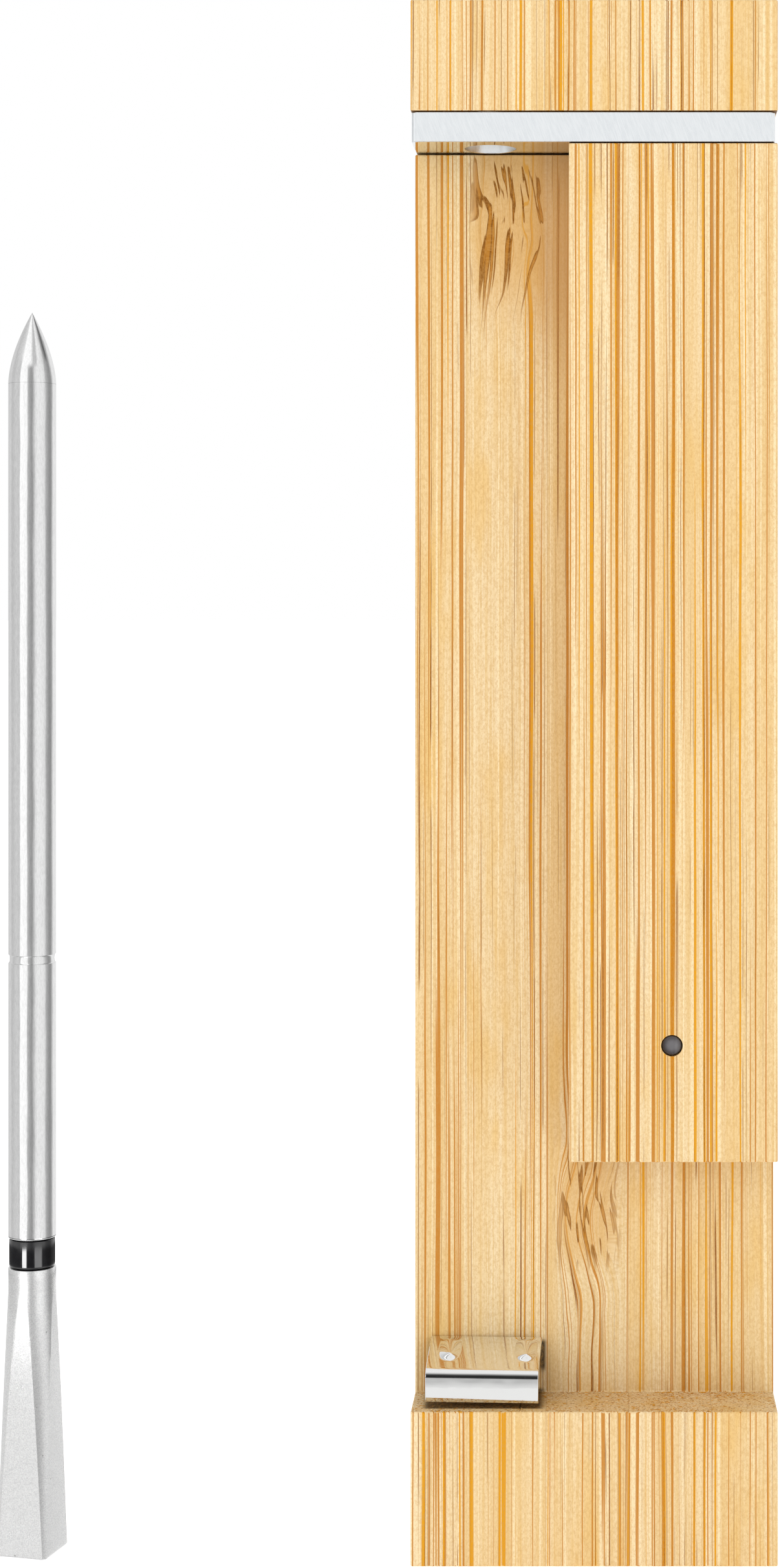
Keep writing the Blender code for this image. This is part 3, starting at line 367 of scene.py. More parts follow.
def brushed_band():
    """Aluminium with short slanting brush marks on its edge, and a polished underside."""
    s = Shader("brushed_band", Metallic=1.0)
    place = s.point()
    x, y, z = s.split(place)
    leaning = s.joined(s.plus(x, s.times(z, 0.35)), y, z)
    brush = s.noise(leaning, (7, 7, 0.7), 3, 0.65)
    normal_z = s.split(s.node("NewGeometry").outputs["Normal"])[2]
    below = s.ease(normal_z, -0.7, -0.9)
    s.set("Base Color", s.mix(s.ease(brush, 0.3, 0.7), (0.76, 0.79, 0.81, 1), (0.84, 0.865, 0.88, 1)))
    rough = s.ease(brush, 0.3, 0.75, 0.27, 0.42)
    s.set("Roughness", s.between(below, rough, 0.05))
    s.bump(s.times(s.minus(1.0, below), brush), 0.009, 0.8)
    return s.material


def spring_steel():
    """Polished nickel-plated strip with faint scuffs."""
    s = Shader("spring_steel", Base_Color=(0.81, 0.81, 0.8, 1), Metallic=1.0)
    place = s.point()
    scuff = s.noise(place, (1.2, 5, 5), 3, 0.6)
    s.set("Roughness", s.ease(scuff, 0.35, 0.8, 0.035, 0.15))
    s.bump(s.noise(place, (0.35, 0.6, 0.6), 1), 0.02)
    return s.material


def plated(name, colour, rough, grain):
    """Plated or drawn metal for the inner pieces, with duller stains. rough is its lowest roughness."""
    s = Shader(name, Base_Color=colour, Metallic=1.0)
    place = s.point()
    marks = s.noise(place, grain, 3, 0.6)
    s.set("Roughness", s.ease(marks, 0.3, 0.75, rough, rough + 0.16))
    stain = s.noise(place, 0.6, 2)
    dull = (*(channel * 0.78 for channel in colour[:3]), 1)
    s.set("Base Color", s.mix(s.ease(stain, 0.5, 0.75, 0, 0.6), colour, dull))
    s.bump(marks, 0.003, 0.6)
    return s.material


# ---------------------------------------------------------------- plastics, ceramic and boards


def black_ceramic():
    """Glossy black glaze, slightly uneven."""
    s = Shader("black_ceramic", Base_Color=(0.006, 0.006, 0.007, 1), Specular_IOR_Level=0.9)
    place = s.point()
    glaze = s.noise(place, 1.3, 2)
    s.set("Roughness", s.ease(glaze, 0.3, 0.7, 0.05, 0.09))
    s.bump(s.noise(place, (0.7, 0.7, 0.3), 1), 0.012)
    return s.material


def moulded(name, colour, rough, texture=9.0, depth=0.012):
    """Moulded plastic: a fine sparked texture and slightly uneven gloss. rough is its lowest roughness."""
    s = Shader(name, Base_Color=colour)
    place = s.point()
    spark = s.noise(place, texture, 3, 0.6)
    haze = s.noise(place, 0.4, 2)
    s.set("Roughness", s.ease(haze, 0.3, 0.7, rough, rough + 0.12))
    lighter = (*(channel * 1.35 + 0.004 for channel in colour[:3]), 1)
    s.set("Base Color", s.mix(s.ease(spark, 0.4, 0.75, 0, 0.7), colour, lighter))
    s.bump(spark, depth, 0.7)
    return s.material


def smoked_lens():
    """The status light's grey lens, with painted shade darkening it towards its rim."""
    gloss = {"Specular_IOR_Level": 0.55, "Coat_Weight": 0.6, "Coat_Roughness": 0.05}
    s = Shader("smoked_plastic", Roughness=0.16, **gloss)
    place = s.point()
    low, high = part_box("light_pipe")
    middle = (low + high) / 2 / MM
    x, _, z = s.split(s.vector("SUBTRACT", place, middle))
    radius = s.math("SQRT", s.plus(s.times(x, x), s.times(z, z)))
    # Painted shade: the lens darkens towards its rim, where its hole shades it
    colour = s.mix(s.ease(radius, 0.25, 0.98), srgb(104, 102, 104), srgb(58, 52, 52))
    dust = s.noise(place, 8, 3, 0.7)
    s.set("Base Color", s.mix(s.ease(dust, 0.55, 0.8, 0, 0.35), colour, srgb(132, 128, 126)))
    s.bump(dust, 0.004, 0.5)
    return s.material


def circuit_board():
    """Green solder mask over copper tracks, with tinned pads."""
    s = Shader("circuit_green", Roughness=0.3, Specular_IOR_Level=0.55)
    x, _, z = s.split(s.point())
    flat = s.joined(x, z, 0.0)
    cells = s.node("TexVoronoi", flat, None, 0.42, feature="F1", distance="MANHATTAN")
    cells.inputs["Randomness"].default_value = 0.65
    ring = s.math("PINGPONG", cells.outputs["Distance"], 0.16)
    track = s.ease(ring, 0.09, 0.115)
    colour = s.mix(track, (0.012, 0.11, 0.05, 1), (0.03, 0.24, 0.11, 1))
    pads = s.node("TexVoronoi", flat, None, 0.55, feature="F1")
    pad = s.ease(pads.outputs["Distance"], 0.15, 0.12)
    s.set("Base Color", s.mix(pad, colour, (0.72, 0.7, 0.64, 1)))
    s.bump(s.plus(track, pad), 0.03, 0.7)
    return s.material


def printed_sleeve():
    """The cell's shrink sleeve: blue below, copper brown above."""
    s = Shader("cell_sleeve", Roughness=0.28, Coat_Weight=0.3, Coat_Roughness=0.1)
    place = s.point()
    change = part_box("battery_sleeve")[0].z / MM + 30
    share = s.ease(s.split(place)[2], change, change + 0.3)
    colour = s.mix(share, (0.05, 0.13, 0.36, 1), (0.72, 0.42, 0.16, 1))
    wrinkle = s.noise(place, (0.8, 0.8, 0.3), 3, 0.6)
    s.set("Base Color", s.mix(s.ease(wrinkle, 0.5, 0.8, 0, 0.25), colour, (0.2, 0.24, 0.3, 1)))
    s.bump(wrinkle, 0.04, 0.6)
    return s.material


FINISH = {
    "bamboo": bamboo("bamboo", (0, 0, 0), knots=True),
    "bamboo_cap": bamboo("bamboo_cap", (143, 61, 0)),
    "bamboo_cover": bamboo("bamboo_cover", (57, 211, 0)),
    "brushed_band": brushed_band(),
    "probe_steel": probe_steel(),
    "handle_metal": handle_metal(),
    "black_ceramic": black_ceramic(),
    "spring_steel": spring_steel(),
    "black_plastic": moulded("black_plastic", (0.018, 0.018, 0.019, 1), 0.42),
    "smoked_plastic": smoked_lens(),
    "circuit_green": circuit_board(),
    "chip_black": moulded("chip_black", (0.022, 0.022, 0.024, 1), 0.5, 14.0, 0.006),
    "bright_metal": plated("bright_metal", (0.72, 0.72, 0.7, 1), 0.2, (5, 5, 0.6)),
    "brass": plated("brass", (0.8, 0.58, 0.26, 1), 0.24, (4, 4, 4)),
    "cell_sleeve": printed_sleeve(),
    "wire_red": moulded("wire_red", (0.5, 0.03, 0.025, 1), 0.34, 3.0, 0.01),
    "lamp_white": moulded("lamp_white", (0.82, 0.82, 0.76, 1), 0.3, 6.0, 0.004),
}


def numbered(name, count):
    return [f"{name}_{n}" for n in range(1, count + 1)]


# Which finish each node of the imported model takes
NODE_FINISH = {
    "bamboo": ["bamboo_body"],
    "bamboo_cap": ["top_cap"],
    "bamboo_cover": ["back_cover"],
    "brushed_band": ["contact_band"],
    "probe_steel": ["probe_tip", "probe_shaft"],
    "handle_metal": ["probe_handle"],
    "black_ceramic": ["ceramic_ring"],
    "spring_steel": ["contact_clip", "tip_contact_cup", "battery_spring"],
    "black_plastic": ["electronics_tray", "check_button"],
    "smoked_plastic": ["light_pipe"],
    "circuit_green": ["circuit_board", "sensor_strip"],
    "chip_black": ["memory_chip", "ambient_sensor", "tact_switch", *numbered("meat_sensor", 5)],
    "bright_metal": [
        "radio_module",
        "crystal_can",
        "battery_cell",
        "probe_cell",
        "switch_plunger",
        "negative_plate",
        "positive_plate",
        "terminal_screw",
        *numbered("cap_dowel", 2),
        *numbered("fridge_magnet", 2),
        *numbered("tray_screw", 4),
        *numbered("board_screw", 4),
        *numbered("keeper_disc", 4),
        *numbered("cover_magnet", 4),
    ],
    "brass": ["clip_terminal", "aerial_rod"],
    "cell_sleeve": ["battery_sleeve"],
    "wire_red": ["band_lead", "clip_lead"],
    "lamp_white": ["status_led", "chip_antenna"],
}
for finish, names in NODE_FINISH.items():
    for name in names:
        data = NODES[name].data
        data.materials.clear()
        data.materials.append(FINISH[finish])

# ---------------------------------------------------------------- mesh helpers


def new_object(name, data):
    made = bpy.data.objects.new(name, data)
    bpy.context.scene.collection.objects.link(made)
    return made


def add_piece(mesh, body, slot, node, sharp_angle=35):
    """A finished mesh as a piece that rides on a body and stands for a node."""
    mesh.shade_smooth()
    mesh.set_sharp_from_angle(angle=math.radians(sharp_angle))
    mesh.materials.append(FINISH[slot])
    piece = new_object(mesh.name, mesh)
    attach(piece, body)
    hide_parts(node)
    return piece


def ease_edges(piece, width, segments, angle):
    """Rounds the edges sharper than the angle, and keeps the large faces flat in the shading beside them."""
    ease = piece.modifiers.new("eased", "BEVEL")
    ease.width = width * MM
    ease.segments = segments
    ease.limit_method = "ANGLE"
    ease.angle_limit = math.radians(angle)
    weighted = piece.modifiers.new("flat faces", "WEIGHTED_NORMAL")
    weighted.keep_sharp = True


def plain_mesh(name, work):
    mesh = bpy.data.meshes.new(name)
    work.to_mesh(mesh)
    work.free()
    return mesh


def welded_mesh(name, work, matrix=None):
    """The work as a mesh without doubled points, its faces turned outwards, moved by the matrix."""
    bmesh.ops.remove_doubles(work, verts=work.verts, dist=0.0005 * MM)
    bmesh.ops.recalc_face_normals(work, faces=work.faces)
    mesh = plain_mesh(name, work)
    if matrix:
        mesh.transform(matrix)
    return mesh


def add_block(work, low, high):
    """A block between two corners, in metres."""
    middle = Matrix.Translation((low + high) / 2)
    bmesh.ops.create_cube(work, size=1, matrix=middle @ Matrix.Diagonal((*(high - low), 1)))


def lathe(name, profile, matrix, segments=128, loop=False):
    """Turns (radius, height) points, in millimetres, about Z."""
    work = bmesh.new()
    rings = []
    for step in range(segments):
        angle = 2 * math.pi * step / segments
        cos, sin = math.cos(angle), math.sin(angle)
        rings.append([work.verts.new((r * cos * MM, r * sin * MM, h * MM)) for r, h in profile])
    spans = list(zip(range(len(profile)), range(1, len(profile))))
    if loop:
        spans.append((len(profile) - 1, 0))
    for one, two in zip(rings, rings[1:] + rings[:1]):
        for a, b in spans:
            work.faces.new((one[a], one[b], two[b], two[a]))
    bmesh.ops.dissolve_degenerate(work, edges=work.edges, dist=0.0001 * MM)
    return welded_mesh(name, work, matrix)


def bridge(work, upper, lower):
    """Faces between two closed rings of points with as many points each."""
    for a, b, c, d in zip(upper, lower, lower[1:] + lower[:1], upper[1:] + upper[:1]):
        work.faces.new((a, b, c, d))


def arc(middle, radius, start, end, steps):
    """Points round part of a circle, angles in degrees."""
    points = []
    for step in range(steps + 1):
        angle = math.radians(start + (end - start) * step / steps)
        points.append((middle[0] + radius * math.cos(angle), middle[1] + radius * math.sin(angle)))
    return points


# ---------------------------------------------------------------- probe

shaft_low, shaft_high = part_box("probe_shaft")
PROBE_X, PROBE_Y = (shaft_low.x + shaft_high.x) / 2, (shaft_low.y + shaft_high.y) / 2
PROBE_TURN = math.radians(-14)
STAND = Matrix.Translation((PROBE_X, PROBE_Y, 0)) @ Matrix.Rotation(PROBE_TURN, 4, "Z")
# Radii, heights and depths of the probe in millimetres, heights from the surface it stands on
SHAFT_RADIUS = 2.475
SHAFT_LOW, SHAFT_HIGH = shaft_low.z / MM, shaft_high.z / MM
SHAFT_FOOT_ROUNDING = 0.15
SHAFT_SHOULDER = 0.012
GROOVE_MIDDLE, GROOVE_HALF, GROOVE_DEPTH, GROOVE_MARGIN = 62.3, 0.45, 0.14, 0.12
TUBE_BORE = 2.15
TIP_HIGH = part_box("probe_tip")[1].z / MM
TIP_GAP = 0.006
TIP_SPIGOT, TIP_SPIGOT_END = (1.9, 3.6), (1.6, 4)
OGIVE_POWER = 1.7
RING_RADIUS, RING_NECK, RING_BORE, RING_ROUNDING = 2.38, 1.85, 0.8, 0.16
RING_SPIGOT_BELOW, RING_SPIGOT_ABOVE = 3.6, 4
HANDLE_TOP, NECK_FOOT, FLARE_TOP = 29.9, 28.7, 27.5
BASE_RADIUS, FLAT_TOP, FLAT_BASE = 3.77, 2.48, 2.83
HANDLE_EASE_TOP, HANDLE_EASE_BASE = 0.12, 0.28
FLARE_STEPS = 40
SOCKET_DEPTH = 4
AERIAL_WELL, AERIAL_WELL_FLOOR = 1.3, 14


def tip_piece():
    """The pointed tip: an ogive with a spigot that goes into the shaft."""
    seat = SHAFT_HIGH + TIP_GAP
    nose = TIP_HIGH - seat
    steps = 60
    profile = []
    for step in range(steps + 1):
        share = (step / steps) ** 1.5
        profile.append((SHAFT_RADIUS * (1 - (1 - share) ** OGIVE_POWER), TIP_HIGH - nose * share))
    profile.append((TIP_SPIGOT[0], seat))
    profile += [(radius, seat - depth) for radius, depth in (TIP_SPIGOT, TIP_SPIGOT_END)]
    profile.append((0, seat - TIP_SPIGOT_END[1]))
    return add_piece(lathe("probe_tip_fine", profile, STAND), "probe", "probe_steel", "probe_tip")


def shaft_piece():
    """The tube, with its groove. Points beside each rounding keep the long faces straight in the shading."""
    groove = []
    steps = 12
    for step in range(steps + 1):
        turn = math.pi * (step / steps)
        depth = GROOVE_DEPTH * math.sin(turn) ** 0.8
        groove.append((SHAFT_RADIUS - depth, GROOVE_MIDDLE + GROOVE_HALF * math.cos(turn)))
    foot = (SHAFT_RADIUS - SHAFT_FOOT_ROUNDING, SHAFT_LOW + SHAFT_FOOT_ROUNDING)
    profile = [
        (SHAFT_RADIUS - SHAFT_SHOULDER, SHAFT_HIGH),
        (SHAFT_RADIUS, SHAFT_HIGH - SHAFT_SHOULDER),
        (SHAFT_RADIUS, SHAFT_HIGH - 3 * SHAFT_SHOULDER),
        (SHAFT_RADIUS, GROOVE_MIDDLE + GROOVE_HALF + GROOVE_MARGIN),
        *groove,
        (SHAFT_RADIUS, GROOVE_MIDDLE - GROOVE_HALF - GROOVE_MARGIN),
        (SHAFT_RADIUS, foot[1] + 0.1),
        *arc(foot, SHAFT_FOOT_ROUNDING, 0, -90, 5),
        (TUBE_BORE, SHAFT_LOW),
        (TUBE_BORE, SHAFT_HIGH),
    ]
    mesh = lathe("probe_shaft_fine", profile, STAND, loop=True)
    return add_piece(mesh, "probe", "probe_steel", "probe_shaft")


def ring_piece():
    """The black ring, with a hollow spigot above and below it."""
    bottom, top = (corner.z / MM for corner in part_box("ceramic_ring"))
    low, high = bottom + RING_SPIGOT_BELOW, top - RING_SPIGOT_ABOVE
    inset, beside = RING_RADIUS - RING_ROUNDING, RING_ROUNDING + 0.06
    profile = [
        (RING_BORE, top),
        (RING_NECK, top),
        (RING_NECK, high),
        *arc((inset, high - RING_ROUNDING), RING_ROUNDING, 90, 0, 6),
        (RING_RADIUS, high - beside),
        (RING_RADIUS, low + beside),
        *arc((inset, low + RING_ROUNDING), RING_ROUNDING, 0, -90, 6),
        (RING_NECK, low),
        (RING_NECK, bottom),
        (RING_BORE, bottom),
    ]
    mesh = lathe("ceramic_ring_fine", profile, STAND, loop=True)
    return add_piece(mesh, "probe", "black_ceramic", "ceramic_ring")


def handle_section(z):
    """The neck's round, or the cone cut by four flats, as (angle, radius) pairs with the corners kept."""
    down = max(0.0, (FLARE_TOP - z) / FLARE_TOP)
    radius = SHAFT_RADIUS + (BASE_RADIUS - SHAFT_RADIUS) * down
    flat = FLAT_TOP + (FLAT_BASE - FLAT_TOP) * down
    half = math.acos(min(1.0, flat / radius))
    across, round_steps = 10, 18
    section = []
    for quarter in range(4):
        middle = quarter * math.pi / 2
        for step in range(across):
            offset = -half + 2 * half * step / across
            section.append((middle + offset, min(radius, flat / math.cos(offset))))
        sweep = math.pi / 2 - 2 * half
        section += [(middle + half + sweep * step / round_steps, radius) for step in range(round_steps)]
    return section


def handle_levels():
    """The heights at which the handle is cut, and how far its eased edges draw it in at each."""
    top, base = HANDLE_EASE_TOP, HANDLE_EASE_BASE
    levels = [(HANDLE_TOP, -top), (HANDLE_TOP - top * 0.3, -top * 0.3), (HANDLE_TOP - top, 0)]
    levels += [(NECK_FOOT, 0), (FLARE_TOP, 0)]
    levels += [(FLARE_TOP * (1 - (step / FLARE_STEPS) ** 1.2), 0) for step in range(1, FLARE_STEPS)]
    levels = [(z, inset) for z, inset in levels if z > base]
    for angle in (0, 22.5, 45, 67.5, 90):
        turn = math.radians(angle)
        levels.append((base * (1 - math.sin(turn)), -base * (1 - math.cos(turn))))
    return levels


def handle_piece():
    """The blasted handle: its section changes from round to four flats, and its base edge is eased."""
    work = bmesh.new()

    def ring_of(z, polar):
        points = [(r * MM * math.cos(angle), r * MM * math.sin(angle), z * MM) for angle, r in polar]
        return [work.verts.new(point) for point in points]

    outer = []
    for z, inset in handle_levels():
        outer.append(ring_of(z, [(angle, r + inset) for angle, r in handle_section(z)]))
    for upper, lower in zip(outer, outer[1:]):
        bridge(work, upper, lower)
    work.faces.new(outer[-1])
    # The socket for the ring's spigot, and the well below it for the aerial
    socket_floor = HANDLE_TOP - SOCKET_DEPTH
    bore = [(TUBE_BORE, HANDLE_TOP), (TUBE_BORE, socket_floor)]
    bore += [(AERIAL_WELL, socket_floor), (AERIAL_WELL, AERIAL_WELL_FLOOR)]
    inner = [ring_of(z, [(angle, radius) for angle, _ in handle_section(HANDLE_TOP)]) for radius, z in bore]
    for upper, lower in zip([outer[0], *inner], inner):
        bridge(work, lower, upper)
    work.faces.new(inner[-1])
    mesh = welded_mesh("probe_handle_fine", work, STAND)
    return add_piece(mesh, "probe", "handle_metal", "probe_handle", sharp_angle=24)


# ---------------------------------------------------------------- metal band

# The hole for the tip: its place, its radius below and further in, and how far in that is
DOCK_X, DOCK_Y = -10.9, -10.25
DOCK_RADIUS, DOCK_NECK, DOCK_LEAD = 2.7, 2.4, 1.3
BAND_CORNER = 0.6


def band_piece():
    """The plate between body and cap, with eased edges and the round hole, which widens towards the probe."""
    low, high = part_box("contact_band")
    work = bmesh.new()
    add_block(work, low, high)
    upright = [edge for edge in work.edges if abs(edge.verts[0].co.z - edge.verts[1].co.z) > MM]
    bmesh.ops.bevel(work, geom=upright, offset=BAND_CORNER * MM, segments=10, affect="EDGES", profile=0.5)
    mesh = welded_mesh("contact_band_fine", work)
    widening = (DOCK_RADIUS - DOCK_NECK) / DOCK_LEAD
    profile = [(0, -1), (DOCK_RADIUS + widening, -1), (DOCK_NECK, DOCK_LEAD), (DOCK_NECK, 5), (0, 5)]
    hole = Matrix.Translation((DOCK_X * MM, DOCK_Y * MM, low.z))
    cutter = new_object("band_hole_cutter", lathe("band_hole_cutter", profile, hole, 96))
    cutter.hide_render = True
    cutter.hide_viewport = True
    piece = add_piece(mesh, "charger_block", "brushed_band", "contact_band")
    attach(cutter, "charger_block")
    hole_cut = piece.modifiers.new("hole", "BOOLEAN")
    hole_cut.object = cutter
    hole_cut.solver = "EXACT"
    ease_edges(piece, 0.1, 3, 50)
    return piece


# ---------------------------------------------------------------- spring clip

# The clip in millimetres. It starts at the wall, slopes down to a bend and ends in a hanging lip.
CLIP_X, CLIP_WIDTH, CLIP_SHEET = -11.38, 11.8, 0.35
CLIP_TURN = math.radians(-3)
CLIP_PIVOT = Vector((CLIP_X, -7.6, 19.75)) * MM
CLIP_START_Y, CLIP_HIGH = -8.02, 21.85
CLIP_SLOPE, CLIP_BEND = math.radians(23), 0.85
CLIP_LIP_Y, CLIP_LIP_BOTTOM = -13.6, 16.5
LIP_KICK, LIP_BOW = 0.12, 0.035
# The tab behind the leaf and the tail in the wall, each as its lowest and highest corner
CLIP_TAB = Vector((-11.2, -8.195, 19.575)), Vector((-7.6, -7.845, 21.7))
CLIP_TAIL = Vector((-11.2, -8.02, 19.575)), Vector((-7.6, -2.7, 19.925))
# The ribs: where they are across the leaf and along its slope, and how long, wide, high and askew they are
RIBS = (-3.65, 4.35)
RIB_ALONG, RIB_HALF_LENGTH, RIB_HALF_WIDTH, RIB_RISE, RIB_LEAN = 2.2, 2.0, 1.12, 0.44, 0.3
BEYOND_RIBS = 99


def clip_line():
    """The leaf's middle line in (y, z) with its outward normal, and how far along the slope each point is."""
    lip_y = CLIP_LIP_Y + CLIP_SHEET / 2
    turn = math.pi / 2 - CLIP_SLOPE
    run = CLIP_START_Y - lip_y - CLIP_BEND * (1 - math.cos(turn))
    bend_z = CLIP_HIGH - run * math.tan(CLIP_SLOPE)
    slope_normal = (-math.sin(CLIP_SLOPE), math.cos(CLIP_SLOPE))
    line = []
    for step in range(40):
        share = step / 40
        y, z = CLIP_START_Y - run * share, CLIP_HIGH + (bend_z - CLIP_HIGH) * share
        line.append((y, z, slope_normal, run * share / math.cos(CLIP_SLOPE)))
    middle_y, middle_z = lip_y + CLIP_BEND, bend_z - CLIP_BEND * math.sin(turn)
    for step in range(17):
        angle = turn * (1 - step / 16)
        normal = (-math.cos(angle), math.sin(angle))
        line.append((middle_y + CLIP_BEND * normal[0], middle_z + CLIP_BEND * normal[1], normal, BEYOND_RIBS))
    for step in range(1, 9):
        share = step / 8
        inward = LIP_KICK * share**4 - LIP_BOW * math.sin(math.pi * share)
        line.append((lip_y + inward, middle_z + (CLIP_LIP_BOTTOM - middle_z) * share, (-1, 0), BEYOND_RIBS))
    return line


def rib_height(x, along):
    """The pressed ribs: a boat with a leaning ridge, blunt at the wall end and pointed towards the bend."""
    height = 0.0
    for rib_x in RIBS:
        span = (along - RIB_ALONG) / RIB_HALF_LENGTH
        if abs(span) >= 1:
            continue
        half = RIB_HALF_WIDTH * (1 - max(0.0, span) ** 2.5) ** 0.5
        ridge = RIB_LEAN * span
        offset = x - rib_x
        side = (offset - ridge) / ((half - ridge) if offset > ridge else -(half + ridge) - 0.01)
        if side >= 1 or half < 0.35:
            continue
        end = min(1.0, (1 - abs(span)) * 2.2)
        height += RIB_RISE * (1 - side**1.4) * end * end * (3 - 2 * end)
    return height


def clip_piece():
    """The whole clip: the leaf with its ribs and lip, and the tab and tail that go into the wall."""
    work = bmesh.new()
    line = clip_line()
    columns = 132
    sides = []
    for side in (0.5, -0.5):
        rows = []
        for y, z, normal, along in line:
            row = []
            for column in range(columns + 1):
                x = CLIP_WIDTH * (column / columns - 0.5)
                out = CLIP_SHEET * side + rib_height(x, along)
                point = (x + CLIP_X, y + normal[0] * out, z + normal[1] * out)
                row.append(work.verts.new(Vector(point) * MM))
            rows.append(row)
        sides.append(rows)
    outer, inner = sides
    for rows, flip in ((outer, False), (inner, True)):
        for upper, lower in zip(rows, rows[1:]):
            for n in range(columns):
                face = (upper[n], upper[n + 1], lower[n + 1], lower[n])
                work.faces.new(face[::-1] if flip else face)
    for end in (0, -1):
        for n in range(columns):
            work.faces.new((outer[end][n], outer[end][n + 1], inner[end][n + 1], inner[end][n]))
    for n in range(len(line) - 1):
        for edge in (0, -1):
            work.faces.new((outer[n][edge], outer[n + 1][edge], inner[n + 1][edge], inner[n][edge]))
    for low, high in (CLIP_TAB, CLIP_TAIL):
        add_block(work, low * MM, high * MM)
    to_pivot = Matrix.Translation(CLIP_PIVOT)
    turn = to_pivot @ Matrix.Rotation(CLIP_TURN, 4, "Z") @ to_pivot.inverted()
    mesh = welded_mesh("contact_clip_fine", work, turn)
    piece = add_piece(mesh, "spring_clip", "spring_steel", "contact_clip")
    ease_edges(piece, 0.05, 2, 60)
    return piece


# ---------------------------------------------------------------- status light and button


def facing(node, toward):
    """The frame of a turned piece that faces -Y or +Y, from the middle of its node."""
    low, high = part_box(node)
    middle = (low + high) / 2
    turn = Matrix.Rotation(math.radians(90 if toward < 0 else -90), 4, "X")
    return Matrix.Translation((middle.x, low.y if toward < 0 else high.y, middle.z)) @ turn


def lens_piece():
    """The light's lens: a shallow dome with a thin flat rim."""
    low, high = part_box("light_pipe")
    length = (high.y - low.y) / MM
    radius, dome, rise = 1.0, 0.84, 0.08
    steps = 12
    profile = [(dome * step / steps, -rise * (step / steps) ** 2) for step in range(steps + 1)]
    profile += [(radius - 0.04, -rise - 0.03), (radius, -rise - 0.07), (radius, -length), (0, -length)]
    mesh = lathe("light_pipe_fine", profile, facing("light_pipe", -1), 72)
    return add_piece(mesh, "charger_block", "smoked_plastic", "light_pipe")


def button_piece():
    """The check button: a dished cap with a rounded rim, and its stem."""
    low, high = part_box("check_button")
    length = (high.y - low.y) / MM
    radius = (high.x - low.x) / 2 / MM
    dish, dish_depth, rim, cap_depth, stem = 2.5, 0.3, 0.35, 5.3, 2
    steps = 14
    profile = [(dish * step / steps, -dish_depth * (1 - (step / steps) ** 2)) for step in range(steps + 1)]
    profile += arc((radius - rim, -rim), rim, 90, 0, 7)
    profile += [(radius, -cap_depth), (stem, -cap_depth), (stem, -length), (0, -length)]
    mesh = lathe("check_button_fine", profile, facing("check_button", 1), 96)
    return add_piece(mesh, "button", "black_plastic", "check_button")


tip_piece()
shaft_piece()
ring_piece()
handle_piece()
band_piece()
clip_piece()
lens_piece()
button_piece()

# ---------------------------------------------------------------- studio


def emitter(name, strength_of):
    """A material that only shines, on the front of its faces. strength_of gets the shader to build on."""
    s = Shader(name)
    s.tree.nodes.remove(s.surface)
    glow = s.node("Emission", (1, 1, 1, 1), strength_of(s))
    clear = s.node("BsdfTransparent")
    back = s.node("NewGeometry").outputs["Backfacing"]
    shown = s.node("MixShader", back, glow.outputs[0], clear.outputs[0])
    s.tree.links.new(shown.outputs[0], s.tree.nodes["Material Output"].inputs["Surface"])
    return s.material


def only_in_reflections(obj):
    """Keeps a studio object out of everything but mirror images."""
    obj.visible_camera = False
    obj.visible_diffuse = False
    obj.visible_transmission = False
    obj.visible_volume_scatter = False
    obj.visible_shadow = False


# How bright the tent round the probe is, by the direction in degrees from the front towards +X
TENT = [
    (-90, 0.68),
    (-68, 0.77),
    (-50, 0.72),
    (-45, 1.3),
    (-14, 1.2),
    (-9, 0.62),
    (2, 0.44),
    (10, 0.38),
    (18, 0.6),
    (26, 0.92),
    (36, 1.04),
    (62, 1.0),
    (73, 0.9),
    (79, 0.58),
    (90, 0.42),
    (102, 0.34),
    (112, 0.4),
    (122, 0.8),
    (132, 1.0),
    (165, 0.92),
    (220, 0.72),
    (246, 0.79),
    (263, 0.66),
]
# The same, for the part that the blasted handle mirrors
HANDLE_TENT = [
    (-90, 0.76),
    (-62, 0.82),
    (-45, 0.9),
    (-15, 0.88),
    (0, 0.7),
    (15, 0.45),
    (40, 0.42),
    (56, 0.85),
    (76, 0.9),
    (90, 0.5),
    (104, 0.25),
    (116, 0.35),
    (132, 0.85),
    (152, 1.02),
    (180, 1.0),
    (220, 0.8),
    (263, 0.74),
]
# The same, for the upper part that the pointed tip mirrors
HIGH_TENT = [
    (-90, 0.72),
    (-62, 0.82),
    (-50, 0.9),
    (-38, 1.3),
    (4, 1.2),
    (18, 0.7),
    (34, 0.66),
    (44, 1.1),
    (72, 0.85),
    (84, 0.4),
    (100, 0.12),
    (114, 0.5),
    (132, 0.95),
    (165, 0.9),
    (220, 0.75),
    (263, 0.68),
]
# Sizes and heights of the tent in metres
TENT_PEAK = 1.5
TENT_RADIUS, TENT_LENGTH, TENT_MIDDLE = 0.034, 0.7, 0.2
TIP_SHEEN = 0.1385, 0.144
# The part of the tent that the black ring mirrors lies lower than the ring. There, two lamps stand out
# against dark cloth. Each is given by its soft edges, as shares of a turn from -90 degrees, and its strength.
RING_DROP, RING_EDGE, RING_CLOTH = 0.0077, 0.0006, 0.85
RING_LAMPS = [((0.14, 0.15), (0.208, 0.196), 13.0), ((0.305, 0.325), (0.43, 0.4), 2.4)]


def round_ramp(s, round_it, table):
    """Brightness by direction, from a table of degrees and levels."""
    ramp = s.node("ValToRGB", round_it)
    stops = ramp.color_ramp.elements
    stops.remove(stops[1])
    for index, (direction, light) in enumerate(table):
        share, level = (direction + 90) / 360, light / TENT_PEAK
        stop = stops[0] if index == 0 else stops.new(share)
        stop.position = share
        stop.color = (level, level, level, 1)
    return s.times(ramp.outputs[0], TENT_PEAK)


